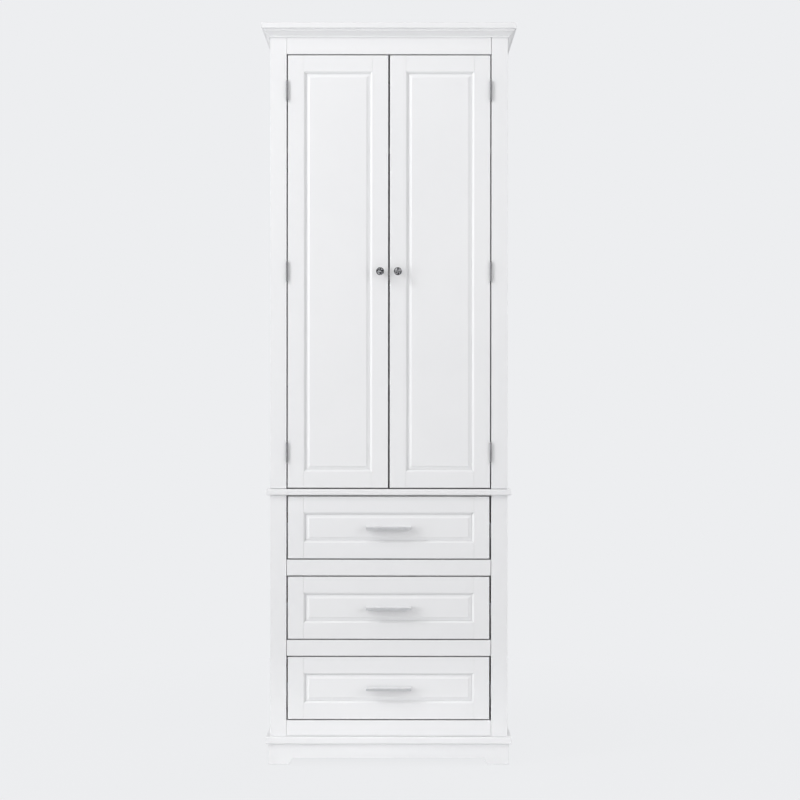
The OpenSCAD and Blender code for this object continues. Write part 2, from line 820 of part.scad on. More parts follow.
// Two sides, a front board behind the drawer front and a back board, as four solids
module drawer_box(level) {
    z = drawer_z(level) + box_lift;
    end_w = box_w - 2 * box_t - 2 * joint_gap;
    color(inside_white) difference() {
        union() {
            both_sides() board(box_w / 2 - box_t, box_y, z, box_t, box_l, box_h);
            for (y = [box_y, box_y + box_l - box_t])
                board(-end_w / 2, y, z, end_w, box_t, box_h);
        }
        drawer_bottom_slab(level, play);
        pull_bolts(level, bolt_r + play, over);
    }
}

// The drawer bottom or, grown by some play, the groove that holds it
module drawer_bottom_slab(level, grow) {
    w = box_w - 2 * box_t + 2 * groove_d + 2 * grow;
    l = box_l - 2 * box_t + 2 * groove_d + 2 * grow;
    board(-w / 2, box_y + box_t - groove_d - grow, drawer_z(level) + box_lift + bottom_lift - grow,
          w, l, bottom_t + 2 * grow);
}

module drawer_bottom(level) { color(inside_white) drawer_bottom_slab(level, 0); }

// Ledge pull with a rounded front edge and a finger hollow underneath, and its two screws
module drawer_pull(level) {
    deep = pull_out + field_set;
    hollow_r = deep / 2;
    color(metal_satin) {
        difference() {
            translate([-pull_w / 2, pull_y, pull_z(level)]) rotate([90, 0, 90])
                linear_extrude(pull_w) difference() {
                    union() {
                        translate([-deep + pull_nose_r, -pull_h / 2])
                            square([deep - pull_nose_r, pull_h]);
                        translate([-deep, -pull_h / 2 + pull_nose_r])
                            square([deep, pull_h - 2 * pull_nose_r]);
                        for (z = [-1, 1])
                            translate([-deep + pull_nose_r, z * (pull_h / 2 - pull_nose_r)])
                                circle(r = pull_nose_r, $fn = small_fn);
                    }
                    translate([-hollow_r - pull_nose_r, -pull_h / 2 - hollow_r + pull_h * hollow_share])
                        circle(r = hollow_r, $fn = large_fn);
                }
            pull_bolts(level, bolt_r + pin_play, play);
        }
        pull_bolts(level, bolt_r, 0);
        both_sides() rod_y([pull_pitch / 2, box_y + box_t, pull_z(level)], 2 * bolt_r, bolt_r);
    }
}

// Inner channels on the drawer's sides, inside the cabinet's channels
module drawer_runners(level) {
    color(metal_zinc) both_sides() translate([box_w / 2, box_y, slide_z(level)])
        mirror([1, 0, 0]) channel(slide_w, box_l, slide_h);
}

module top_drawer_frame() { drawer_frame(top_level); }
module top_drawer_panel() { drawer_panel(top_level); }
module top_drawer_box() { drawer_box(top_level); }
module top_drawer_bottom() { drawer_bottom(top_level); }
module top_drawer_pull() { drawer_pull(top_level); }
module top_drawer_runners() { drawer_runners(top_level); }
module middle_drawer_frame() { drawer_frame(top_level - 1); }
module middle_drawer_panel() { drawer_panel(top_level - 1); }
module middle_drawer_box() { drawer_box(top_level - 1); }
module middle_drawer_bottom() { drawer_bottom(top_level - 1); }
module middle_drawer_pull() { drawer_pull(top_level - 1); }
module middle_drawer_runners() { drawer_runners(top_level - 1); }
module low_drawer_frame() { drawer_frame(0); }
module low_drawer_panel() { drawer_panel(0); }
module low_drawer_box() { drawer_box(0); }
module low_drawer_bottom() { drawer_bottom(0); }
module low_drawer_pull() { drawer_pull(0); }
module low_drawer_runners() { drawer_runners(0); }

plinth_front();
plinth_left();
plinth_right();
plinth_back();
foot_blocks();
floor_glides();
base_board();
lower_side_left();
lower_side_right();
lower_stiles();
lower_rails();
lower_back();
runner_packers();
cabinet_runners();
mid_board();
upper_side_left();
upper_side_right();
upper_stiles();
frieze_rail();
crown_moulding();
top_board();
upper_back();
wall_rail();
fixed_shelf();
adjustable_shelves();
shelf_pins();
hinge_frame_leaves();
hinge_pins();
hinge_frame_screws();
magnet_catch();
door_left_frame();
door_left_panel();
door_left_hinge_leaves();
door_left_knob();
door_left_strike();
door_left_screws();
door_right_frame();
door_right_panel();
door_right_hinge_leaves();
door_right_knob();
door_right_strike();
door_right_screws();
top_drawer_frame();
top_drawer_panel();
top_drawer_box();
top_drawer_bottom();
top_drawer_pull();
top_drawer_runners();
middle_drawer_frame();
middle_drawer_panel();
middle_drawer_box();
middle_drawer_bottom();
middle_drawer_pull();
middle_drawer_runners();
low_drawer_frame();
low_drawer_panel();
low_drawer_box();
low_drawer_bottom();
low_drawer_pull();
low_drawer_runners();
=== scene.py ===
"""Tall bathroom cabinet: fine meshes, finishes, floor, light and camera.

The front faces -Y and the floor is z = 0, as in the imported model, and each piece stands where its
CAD node stands. Sizes in the classes of the cabinet's pieces are in mm; those of the finishes, the
studio and all meshes are in metres.
"""

import logging
import math
from dataclasses import dataclass, field
from enum import Enum
from typing import Callable, Iterable, Sequence

import bmesh
import bpy
from mathutils import Matrix, Vector


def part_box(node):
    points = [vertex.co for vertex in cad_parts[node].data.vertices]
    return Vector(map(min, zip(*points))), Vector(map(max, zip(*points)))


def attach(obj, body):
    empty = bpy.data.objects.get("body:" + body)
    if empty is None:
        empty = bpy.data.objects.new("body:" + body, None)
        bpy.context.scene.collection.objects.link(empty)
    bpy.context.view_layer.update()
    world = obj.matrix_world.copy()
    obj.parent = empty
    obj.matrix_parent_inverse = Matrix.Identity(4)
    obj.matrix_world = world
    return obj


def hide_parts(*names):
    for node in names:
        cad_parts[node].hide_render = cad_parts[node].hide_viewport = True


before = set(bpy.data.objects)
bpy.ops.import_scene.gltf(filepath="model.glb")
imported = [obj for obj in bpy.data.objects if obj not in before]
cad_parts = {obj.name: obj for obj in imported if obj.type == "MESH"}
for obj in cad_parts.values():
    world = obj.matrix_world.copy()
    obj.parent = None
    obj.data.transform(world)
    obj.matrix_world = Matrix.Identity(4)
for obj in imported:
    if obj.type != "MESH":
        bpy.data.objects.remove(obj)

MM = 0.001
SAME_PLACE = 1e-6
ON_AXIS = 1e-7
FLAT_ANGLE = math.radians(0.5)
SHARP_ANGLE = math.radians(25)
END_FACING = 0.99
RUNNER_ARRIS = 0.2
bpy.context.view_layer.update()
log = logging.getLogger("tall_cabinet")

Colour = tuple[float, float, float]
Place = tuple[Vector, Vector]
Work = bmesh.types.BMesh
Edge = bmesh.types.BMEdge
Mesh = bpy.types.Mesh
Material = bpy.types.Material
Node = bpy.types.Node
Socket = bpy.types.NodeSocket
Tree = bpy.types.NodeTree


class Slot(Enum):
    """The record's material slots, each with the word that its pieces' names end in."""

    WHITE_PAINT = ("white_paint", "painted")
    INSIDE_WHITE = ("inside_white", "lacquered")
    RAW_WOOD = ("raw_wood", "planed")
    SATIN_NICKEL = ("satin_nickel", "satin")
    POLISHED_NICKEL = ("polished_nickel", "polished")
    ZINC_STEEL = ("zinc_steel", "plated")
    GREY_PLASTIC = ("grey_plastic", "moulded")

    @property
    def record_name(self) -> str:
        """The slot's name in the record."""
        return self.value[0]

    @property
    def ending(self) -> str:
        """The word that ends the names of pieces with this finish."""
        return self.value[1]


class Body(Enum):
    """The bodies that pieces ride on."""

    CABINET = "cabinet"
    DOOR_LEFT = "door_left"
    DOOR_RIGHT = "door_right"
    TOP_DRAWER = "top_drawer"
    MIDDLE_DRAWER = "middle_drawer"
    LOW_DRAWER = "low_drawer"


class Grain(Enum):
    """The direction that a grain or a brushing runs in."""

    ALONG_X = (1.0, 0.06, 0.06)
    ALONG_Y = (0.06, 1.0, 0.06)
    ALONG_Z = (0.06, 0.06, 1.0)


class Graph:
    """A node tree that is being wired."""

    def __init__(self, tree: Tree) -> None:
        """Takes the shader or geometry tree to add nodes to."""
        self.tree = tree

    def add(self, kind: str, inputs: dict | None = None, **settings: object) -> Node:
        """Adds a node.

        Args:
            kind: the node's type name.
            inputs: values or sockets for its inputs, by name or place.
            settings: values of the node's own properties.

        Returns:
            The new node.
        """
        node = self.tree.nodes.new(kind)
        for key, value in settings.items():
            setattr(node, key, value)
        for key, value in (inputs or {}).items():
            if isinstance(value, Socket):
                self.tree.links.new(value, node.inputs[key])
            else:
                node.inputs[key].default_value = value
        return node

    def math(self, operation: str, *values: object) -> Socket:
        """Adds a Math node in a shader or geometry tree.

        Args:
            operation: the operation's name.
            values: its numbers or sockets, in order.

        Returns:
            The result's socket.
        """
        return self.add("ShaderNodeMath", dict(enumerate(values)), operation=operation).outputs[0]

    def blend(self, factor: object, first: object, second: object) -> Socket:
        """Mixes two colours.

        Args:
            factor: share of the second colour.
            first: colour at factor 0.
            second: colour at factor 1.

        Returns:
            The mixed colour's socket.
        """
        node = self.add("ShaderNodeMix", {0: factor, 6: first, 7: second}, data_type="RGBA")
        return node.outputs[2]

    def spread(self, value: Socket, low: object, high: object, to_low: float = 0.0,
               to_high: float = 1.0) -> Socket:
        """Maps a number from one range to another and holds it there.

        Args:
            value: the number's socket.
            low: start of the range that it comes from.
            high: end of that range.
            to_low: what low becomes.
            to_high: what high becomes.

        Returns:
            The mapped number's socket.
        """
        return self.add("ShaderNodeMapRange", {0: value, 1: low, 2: high, 3: to_low, 4: to_high}
                        ).outputs[0]

    def noise(self, place: Socket, scale: object, detail: float, **more: float) -> Socket:
        """Adds a noise texture, with further inputs by name."""
        return self.add("ShaderNodeTexNoise", {"Vector": place, "Scale": scale, "Detail": detail,
                                               **more}).outputs[0]

    def effect(self, group: Tree, **inputs: object) -> bpy.types.bpy_prop_collection:
        """Adds a shared node group and gives its outputs."""
        return self.add("ShaderNodeGroup", inputs, node_tree=group).outputs

    def first(self, kind: str) -> Node:
        """The tree's first node of a type."""
        return next(node for node in self.tree.nodes if node.type == kind)

    def link(self, start: Socket, end: Socket) -> None:
        """Joins an output to an input."""
        self.tree.links.new(start, end)


def new_group(name: str, kind: str, inputs: dict[str, str],
              outputs: dict[str, str]) -> tuple[Graph, Node, Node]:
    """Opens a node group.

    Args:
        name: the group's name.
        kind: Shader or Geometry.
        inputs: socket type of each input, by name.
        outputs: socket type of each output, by name.

    Returns:
        The group's graph, its input node and its output node.
    """
    tree = bpy.data.node_groups.new(name, f"{kind}NodeTree")
    for side, sockets in (("INPUT", inputs), ("OUTPUT", outputs)):
        for title, socket in sockets.items():
            tree.interface.new_socket(title, in_out=side, socket_type=f"NodeSocket{socket}")
    graph = Graph(tree)
    return graph, graph.add("NodeGroupInput"), graph.add("NodeGroupOutput")


def in_scene(name: str, data: bpy.types.ID) -> bpy.types.Object:
    """Puts a new object into the scene.

    Args:
        name: the object's name.
        data: the mesh, light or camera that it shows.

    Returns:
        The object.
    """
    made = bpy.data.objects.new(name, data)
    bpy.context.scene.collection.objects.link(made)
    return made


def rgba(colour: Colour) -> tuple[float, float, float, float]:
    """A colour with full opacity."""
    return (*colour, 1.0)


class ShaderGroups:
    """The effects that more than one finish uses, each built once as a node group."""

    MASK_RANGE = (0.35, 0.65)
    WAVE_SCALE = 22.0
    WAVE_SHARE = 0.35
    DUST_SCALE = 45.0
    FACING_UP = (0.7, 1.0)
    RELIEF = {"Height": "Float", "Mask": "Float"}

    def __init__(self) -> None:
        """Builds all the groups."""
        self.stipple = self._stipple()
        self.drift = self._drift()
        self.brushing = self._brushing()
        self.dust = self._dust()

    def _stipple(self) -> Tree:
        """Fine unevenness of a sprayed or moulded skin over a slow wave of the ground under it."""
        g, start, end = new_group("Stipple", "Shader", {"Place": "Vector", "Fineness": "Float"},
                                  self.RELIEF)
        place, fineness = start.outputs[:2]
        fine = g.noise(place, fineness, 3.0, Roughness=0.6)
        slow = g.noise(place, self.WAVE_SCALE, 2.0)
        g.link(g.math("MULTIPLY_ADD", slow, self.WAVE_SHARE, fine), end.inputs[0])
        g.link(g.spread(slow, *self.MASK_RANGE), end.inputs[1])
        return g.tree

    def _drift(self) -> Tree:
        """Slow change between two near colours over a whole piece."""
        g, start, end = new_group(
            "Tone drift", "Shader", {"Place": "Vector", "Scale": "Float", "Light": "Color",
                                     "Dark": "Color", "From": "Float", "To": "Float"},
            {"Colour": "Color"})
        place, scale, light, dark, low, high = start.outputs[:6]
        share = g.spread(g.noise(place, scale, 4.0, Distortion=0.3), low, high)
        g.link(g.blend(share, light, dark), end.inputs[0])
        return g.tree

    def _brushing(self) -> Tree:
        """Long fine lines along one direction, as on brushed metal or planed wood."""
        g, start, end = new_group(
            "Brushing", "Shader", {"Place": "Vector", "Stretch": "Vector", "Fineness": "Float"},
            self.RELIEF)
        place, stretch, fineness = start.outputs[:3]
        squeezed = g.add("ShaderNodeVectorMath", {0: place, 1: stretch}, operation="DIVIDE")
        lines = g.noise(squeezed.outputs[0], fineness, 5.0, Roughness=0.65)
        g.link(lines, end.inputs[0])
        g.link(g.spread(lines, *self.MASK_RANGE), end.inputs[1])
        return g.tree

    def _dust(self) -> Tree:
        """A little dust on faces that look up."""
        g, start, end = new_group(
            "Settled dust", "Shader", {"Place": "Vector", "Colour": "Color", "Dust": "Color",
                                       "Amount": "Float"}, {"Colour": "Color"})
        place, colour, dust, amount = start.outputs[:4]
        up = g.add("ShaderNodeSeparateXYZ", {0: g.add("ShaderNodeNewGeometry").outputs["Normal"]})
        patchy = g.math("MULTIPLY", g.spread(up.outputs[2], *self.FACING_UP),
                        g.noise(place, self.DUST_SCALE, 5.0))
        g.link(g.blend(g.math("MULTIPLY", patchy, amount), colour, dust), end.inputs[0])
        return g.tree


@dataclass(frozen=True)
class Finish:
    """What every finish has: two near colours in patches, a roughness range and a relief.

    The relief's depth is in metres, and its strength says how far it turns the normal.
    """

    name: str
    light: Colour
    dark: Colour
    smooth: float
    rough: float
    metallic: float = 0.0
    fineness: float = 900.0
    depth: float = 0.00004
    strength: float = 0.25
    patches: float = 3.5
    patch_edge: tuple[float, float] = (0.3, 0.7)

    def tone(self, g: Graph, place: Socket, groups: ShaderGroups) -> Socket:
        """The two colours in slow patches over the place, in the material's graph."""
        return g.effect(groups.drift, Place=place, Scale=self.patches, Light=rgba(self.light),
                        Dark=rgba(self.dark), From=self.patch_edge[0], To=self.patch_edge[1])[0]

    def surface(self, g: Graph, place: Socket, groups: ShaderGroups) -> Sequence[Socket]:
        """What differs from finish to finish.

        Args:
            g: the material's graph.
            place: the Object coordinates.
            groups: the shared node groups.

        Returns:
            Sockets of the colour, the roughness mask and the relief's height.
        """
        raise NotImplementedError

    def build(self, groups: ShaderGroups) -> Material:
        """Makes the material.

        Args:
            groups: the shared node groups.

        Returns:
            The material.
        """
        material = bpy.data.materials.new(self.name)
        material.use_nodes = True
        g = Graph(material.node_tree)
        place = g.add("ShaderNodeTexCoord").outputs["Object"]
        colour, mask, height = self.surface(g, place, groups)
        relief = g.add("ShaderNodeBump", {"Height": height, "Distance": self.depth,
                                          "Strength": self.strength})
        principled = g.first("BSDF_PRINCIPLED").inputs
        principled["Metallic"].default_value = self.metallic
        g.link(colour, principled["Base Color"])
        g.link(g.spread(mask, 0.0, 1.0, self.smooth, self.rough), principled["Roughness"])
        g.link(relief.outputs[0], principled["Normal"])
        return material


@dataclass(frozen=True)
class Lacquer(Finish):
    """Sprayed paint, or a moulded skin, with a fine stipple and a slow drift of its tone."""

    dust: float = 0.05
    dust_tone: Colour = (0.55, 0.53, 0.5)

    def surface(self, g: Graph, place: Socket, groups: ShaderGroups) -> Sequence[Socket]:
        """Patches of tone under dust, and the stipple.

        Args:
            g: the material's graph.
            place: the Object coordinates.
            groups: the shared node groups.

        Returns:
            Sockets of the colour, the roughness mask and the relief's height.
        """
        dusty = g.effect(groups.dust, Place=place, Colour=self.tone(g, place, groups),
                         Dust=rgba(self.dust_tone), Amount=self.dust)
        skin = g.effect(groups.stipple, Place=place, Fineness=self.fineness)
        return dusty[0], skin["Mask"], skin["Height"]


@dataclass(frozen=True)
class Metal(Finish):
    """Plated metal with a brushing along one direction, and, where a highlight colour is given, a
    painted highlight that makes faces looking up lighter.
    """

    metallic: float = 1.0
    fineness: float = 60.0
    depth: float = 0.00001
    strength: float = 0.15
    patches: float = 40.0
    grain: Grain = Grain.ALONG_X
    top_highlight: Colour | None = None
    top_highlight_facing: tuple[float, float] = (0.5, 0.95)

    def surface(self, g: Graph, place: Socket, groups: ShaderGroups) -> Sequence[Socket]:
        """Patches of tone with the painted highlight on faces that look up, and the brushing.

        Args:
            g: the material's graph.
            place: the Object coordinates.
            groups: the shared node groups.

        Returns:
            Sockets of the colour, the roughness mask and the relief's height.
        """
        tone = self.tone(g, place, groups)
        lines = g.effect(groups.brushing, Place=place, Stretch=self.grain.value,
                         Fineness=self.fineness)
        # Painted highlight: the colour turns lighter on faces that look up, in place of light from
        # above.
        if self.top_highlight:
            facing = g.add("ShaderNodeSeparateXYZ", {0: place.node.outputs["Normal"]})
            tone = g.blend(g.spread(facing.outputs["Z"], *self.top_highlight_facing), tone,
                           rgba(self.top_highlight))
        return tone, lines["Mask"], lines["Height"]


@dataclass(frozen=True)
class Timber(Finish):
    """Planed softwood with growth rings drawn out along the grain."""

    fineness: float = 45.0
    depth: float = 0.0001
    strength: float = 0.3
    grain: Grain = Grain.ALONG_Y
    ring_scale: float = 6.0
    ring_bend: float = 7.0
    ring_share: float = 0.7
    fibre_share: float = 0.3

    def surface(self, g: Graph, place: Socket, groups: ShaderGroups) -> Sequence[Socket]:
        """Growth rings and fibres.

        Args:
            g: the material's graph.
            place: the Object coordinates.
            groups: the shared node groups.

        Returns:
            Sockets of the colour, the roughness mask and the relief's height.
        """
        squeezed = g.add("ShaderNodeVectorMath", {0: place, 1: self.grain.value},
                         operation="DIVIDE")
        rings = g.add("ShaderNodeTexWave", {
            "Vector": squeezed.outputs[0], "Scale": self.ring_scale,
            "Distortion": self.ring_bend, "Detail": 3.0, "Detail Scale": 1.5})
        fibres = g.effect(groups.brushing, Place=place, Stretch=self.grain.value,
                          Fineness=self.fineness)
        share = g.math("MULTIPLY_ADD", fibres["Mask"], self.fibre_share,
                       g.math("MULTIPLY", rings.outputs["Fac"], self.ring_share))
        return g.blend(share, rgba(self.light), rgba(self.dark)), share, fibres["Height"]


@dataclass(frozen=True)
class Span:
    """Lowest and highest corner of one solid."""

    lo: Vector
    hi: Vector

    @property
    def centre(self) -> Vector:
        """The middle of the box."""
        return (self.lo + self.hi) / 2

    @property
    def size(self) -> Vector:
        """The box's width, depth and height."""
        return self.hi - self.lo

    @property
    def inward(self) -> float:
        """The way along X to the cabinet's middle, 1.0 or -1.0."""
        return -1.0 if self.centre.x > 0 else 1.0

    def end(self, axis: int, way: float) -> Place:
        """The middle of an end face, and the direction that it faces.

        Args:
            axis: 0, 1 or 2 for X, Y or Z.
            way: 1.0 for the high end and -1.0 for the low one.

        Returns:
            The place and its aim.
        """
        place, aim = self.centre, Vector((0, 0, 0))
        place[axis] = (self.hi if way > 0 else self.lo)[axis]
        aim[axis] = way
        return place, aim


def merged(node: str) -> Work:
    """A copy of a CAD node's mesh whose doubled points are merged.

    Args:
        node: the CAD node's name.

    Returns:
        The copy, for further work.
    """
    bm = bmesh.new()
    bm.from_mesh(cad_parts[node].data)
    bmesh.ops.remove_doubles(bm, verts=bm.verts, dist=SAME_PLACE)
    return bm


def solids(node: str) -> list[Span]:
    """The box of each separate solid in a CAD node.

    Args:
        node: the CAD node's name.

    Returns:
        The boxes, sorted by their centres.
    """
    bm = merged(node)
    found, seen = [], set()
    for first in bm.verts:
        if first in seen:
            continue
        seen.add(first)
        ring, queue = [], [first]
        while queue:
            vert = queue.pop()
            ring.append(vert.co.copy())
            for edge in vert.link_edges:
                other = edge.other_vert(vert)
                if other not in seen:
                    seen.add(other)
                    queue.append(other)
        found.append(Span(*(Vector(pick(p[i] for p in ring) for i in range(3))
                            for pick in (min, max))))
    bm.free()
    return sorted(found, key=lambda s: tuple(round(v, 5) for v in s.centre))


def soften(bm: Work, radius: float, shortest: float, pick: Callable[[Edge], bool]) -> None:
    """Rounds the sharp outer edges of a mesh.

    Args:
        bm: the mesh.
        radius: radius of the rounding, in metres.
        shortest: length below which an edge is left as it is.
        pick: says whether an edge that is sharp and long enough is rounded.
    """
    edges = [e for e in bm.edges
             if e.is_manifold and e.is_convex and e.calc_face_angle(0.0) > SHARP_ANGLE
             and e.calc_length() > shortest and pick(e)]
    bmesh.ops.bevel(bm, geom=edges, offset=radius, offset_type="OFFSET", segments=2, profile=0.5,
                    affect="EDGES", clamp_overlap=False)


@dataclass(frozen=True)
class OpenJoint:
    """A fine gap left where a member butts against its neighbours, in mm."""

    axis: int
    low: float
    high: float
    above: float = 0.0
    end_slack: float = 0.01

    def cut(self, bm: Work) -> None:
        """Moves the two outermost ends of a mesh inwards, where they lie above the given height.

        Args:
            bm: the mesh.
        """
        ends = [pick(v.co[self.axis] for v in bm.verts) for pick in (min, max)]
        for vert in bm.verts:
            for end, step in zip(ends, (self.low, -self.high)):
                at_end = abs(vert.co[self.axis] - end) < self.end_slack * MM
                if at_end and vert.co.z >= self.above * MM:
                    vert.co[self.axis] += step * MM


@dataclass(frozen=True)
class Slimming:
    """Takes a round barrel's outside in towards its axis, on both sides of the cabinet, in mm."""

    axis_x: float
    axis_y: float
    bore_r: float
    outer_r: float
    share: float

    def cut(self, bm: Work) -> None:
        """Moves the points between the bore and the outside.

        Args:
            bm: the mesh.
        """
        for vert in bm.verts:
            axis = Vector((math.copysign(self.axis_x, vert.co.x), self.axis_y)) * MM
            reach = vert.co.xy - axis
            if self.bore_r * MM < reach.length < self.outer_r * MM:
                vert.co.xy = axis + reach * self.share


def to_mesh(bm: Work, name: str, angle: float = 32.0,
            creased: Iterable[Edge] = ()) -> Mesh:
    """Closes a bmesh into a mesh with smooth faces and sharp edges over an angle.

    Args:
        bm: the work mesh, which is freed.
        name: the mesh's name.
        angle: the least angle of a sharp edge, in degrees.
        creased: edges that stay sharp at any angle.

    Returns:
        The mesh.
    """
    kept = set(creased)
    for face in bm.faces:
        face.smooth = True
    for edge in bm.edges:
        edge.smooth = edge not in kept and edge.calc_face_angle(0.0) < math.radians(angle)
    mesh = bpy.data.meshes.new(name)
    bm.to_mesh(mesh)
    bm.free()
    return mesh


def rounded(points: Sequence[tuple[float, float]], radius: float, steps: int = 4,
            most: float = 0.45) -> list[tuple[float, float]]:
    """Rounds the inner corners of an open outline.

    Args:
        points: the outline's points.
        radius: how far each rounding reaches along its two sides.
        steps: segments of each rounding.
        most: the greatest share of a side that a rounding takes.

    Returns:
        The rounded outline.
    """
    made = [points[0]]
    for before, corner, after in zip(points, points[1:], points[2:]):
        c, a, b = Vector(corner), Vector(before), Vector(after)
        reach_a, reach_b = (min(radius, (p - c).length * most) for p in (a, b))
        start, end = c + (a - c).normalized() * reach_a, c + (b - c).normalized() * reach_b
        for i in range(steps + 1):
            t = i / steps
            made.append(tuple(start * (1 - t) ** 2 + c * 2 * t * (1 - t) + end * t * t))
    return made + [points[-1]]


def turned(outline: Sequence[tuple[float, float]], foot: Vector, sides: int) -> Work:
    """Turns an outline round an axis that runs to the front from its foot.

    Args:
        outline: radius and height of each point, from the axis to the axis, in metres.
        foot: where the axis starts.
        sides: number of facets round the axis.

    Returns:
        The closed turned shape.
    """
    bm = bmesh.new()
    rings = []
    for radius, height in outline:
        if radius < ON_AXIS:
            rings.append([bm.verts.new(foot + Vector((0, -height, 0)))])
        else:
            rings.append([bm.verts.new(foot + Vector((radius * math.cos(a), -height,
                                                      radius * math.sin(a))))
                          for a in (2 * math.pi * i / sides for i in range(sides))])
    for low, high in zip(rings, rings[1:]):
        for i in range(sides):
            j = (i + 1) % sides
            corners = dict.fromkeys((low[i % len(low)], low[j % len(low)], high[j % len(high)],
                                     high[i % len(high)]))
            if len(corners) > 2:
                bm.faces.new(list(corners))
    bmesh.ops.recalc_face_normals(bm, faces=bm.faces)
    return bm


class NodeShapes:
    """Geometry Nodes trees for the small pieces that repeat."""

    HEAD_SIDES = 28
    SHANK_SIDES = 16
    ROD_SIDES = 32
    ROD_END = 0.3
    RECESS_LENGTH = 1.15
    RECESS_WIDTH = 0.26

    def __init__(self) -> None:
        """Builds the trees."""
        self.screw = self._screw()
        self.rod = self._rod()

    @staticmethod
    def _start(name: str, *sizes: str) -> tuple[Graph, Node, Node]:
        """Opens a tree, with its size inputs, that sets a piece on each point of a mesh."""
        inputs = {"Geometry": "Geometry", **dict.fromkeys(sizes, "Float"), "Material": "Material"}
        return new_group(name, "Geometry", inputs, {"Geometry": "Geometry"})

    @staticmethod
    def _set_on_points(g: Graph, start: Node, end: Node,
                       piece: Socket) -> None:
        """Sets a piece on every point with its Z axis along the point's aim, and ends the tree.

        Args:
            g: the tree's graph.
            start: its input node.
            end: its output node.
            piece: the piece's geometry, with its face at the origin.
        """
        aim = g.add("GeometryNodeInputNamedAttribute", {"Name": "aim"}, data_type="FLOAT_VECTOR")
        turn = g.add("FunctionNodeAlignRotationToVector", {"Vector": aim.outputs[0]}, axis="Z")
        placed = g.add("GeometryNodeInstanceOnPoints", {"Points": start.outputs["Geometry"],
                                                        "Instance": piece,
                                                        "Rotation": turn.outputs[0]})
        real = g.add("GeometryNodeRealizeInstances", {0: placed.outputs[0]})
        dressed = g.add("GeometryNodeSetMaterial", {"Geometry": real.outputs[0],
                                                    "Material": start.outputs["Material"]})
        g.link(dressed.outputs[0], end.inputs[0])

    @staticmethod
    def _moved(g: Graph, mesh: Socket, height: object) -> Socket:
        """Moves a mesh along Z.

        Args:
            g: the tree's graph.
            mesh: the mesh.
            height: how far it moves.

        Returns:
            The moved mesh.
        """
        offset = g.add("ShaderNodeCombineXYZ", {2: height})
        return g.add("GeometryNodeTransform", {"Geometry": mesh, "Translation": offset.outputs[0]}
                     ).outputs[0]

    def _screw(self) -> Tree:
        """A countersunk or pan-head screw with a cross recess, its shank along -Z."""
        g, start, end = self._start("Screws", "Head radius", "Head height", "Head foot radius",
                                    "Shank radius", "Length", "Recess")
        size = start.outputs
        sunk = g.math("MULTIPLY", size["Head height"], -1.0)
        head = g.add("GeometryNodeMeshCone", {
            "Vertices": self.HEAD_SIDES, "Radius Top": size["Head radius"],
            "Radius Bottom": size["Head foot radius"], "Depth": size["Head height"]})
        cut = g.add("GeometryNodeMeshBoolean", {
            "Mesh 1": self._moved(g, head.outputs["Mesh"], sunk)}, operation="DIFFERENCE",
            solver="EXACT")
        for turn in (0.0, math.pi / 2):
            span = g.add("ShaderNodeCombineXYZ", {
                0: g.math("MULTIPLY", size["Head radius"], self.RECESS_LENGTH),
                1: g.math("MULTIPLY", size["Head radius"], self.RECESS_WIDTH),
                2: g.math("MULTIPLY", size["Recess"], 2.0)})
            bar = g.add("GeometryNodeMeshCube", {"Size": span.outputs[0]})
            slot = g.add("GeometryNodeTransform", {"Geometry": bar.outputs["Mesh"],
                                                   "Rotation": (0.0, 0.0, turn)})
            g.link(slot.outputs[0], cut.inputs["Mesh 2"])
        shank_l = g.math("SUBTRACT", size["Length"], size["Head height"])
        shank = g.add("GeometryNodeMeshCylinder", {
            "Vertices": self.SHANK_SIDES, "Radius": size["Shank radius"], "Depth": shank_l})
        both = g.add("GeometryNodeJoinGeometry")
        middle = g.math("MULTIPLY_ADD", shank_l, -0.5, sunk)
        g.link(self._moved(g, shank.outputs["Mesh"], middle), both.inputs[0])
        g.link(cut.outputs["Mesh"], both.inputs[0])
        self._set_on_points(g, start, end, both.outputs[0])
        return g.tree

    def _rod(self) -> Tree:
        """A round rod with chamfered ends, from the origin along -Z."""
        g, start, end = self._start("Rods", "Radius", "Length", "Chamfer")
        size = start.outputs
        bar = g.add("GeometryNodeMeshCylinder", {
            "Vertices": self.ROD_SIDES, "Side Segments": 3, "Radius": size["Radius"],
            "Depth": size["Length"]})
        place = g.add("ShaderNodeSeparateXYZ", {0: g.add("GeometryNodeInputPosition").outputs[0]})
        x, y, z = place.outputs
        at_end = g.math("GREATER_THAN", g.math("ABSOLUTE", z),
                        g.math("MULTIPLY", size["Length"], self.ROD_END))
        narrowing = g.math("DIVIDE", size["Chamfer"], size["Radius"])
        shrink = g.math("SUBTRACT", 1.0, g.math("MULTIPLY", at_end, narrowing))
        foot = g.math("MULTIPLY_ADD", size["Length"], 0.5,
                      g.math("MULTIPLY", size["Chamfer"], -1.0))
        shoulder = g.math("MULTIPLY", g.math("SIGN", z), foot)
        height = g.math("ADD", g.math("MULTIPLY", at_end, z),
                        g.math("MULTIPLY", g.math("SUBTRACT", 1.0, at_end), shoulder))
        moved = g.add("ShaderNodeCombineXYZ", {
            0: g.math("MULTIPLY", x, shrink), 1: g.math("MULTIPLY", y, shrink), 2: height})
        shaped = g.add("GeometryNodeSetPosition", {"Geometry": bar.outputs["Mesh"],
                                                   "Position": moved.outputs[0]})
        down = self._moved(g, shaped.outputs[0], g.math("MULTIPLY", size["Length"], -0.5))
        self._set_on_points(g, start, end, down)
        return g.tree


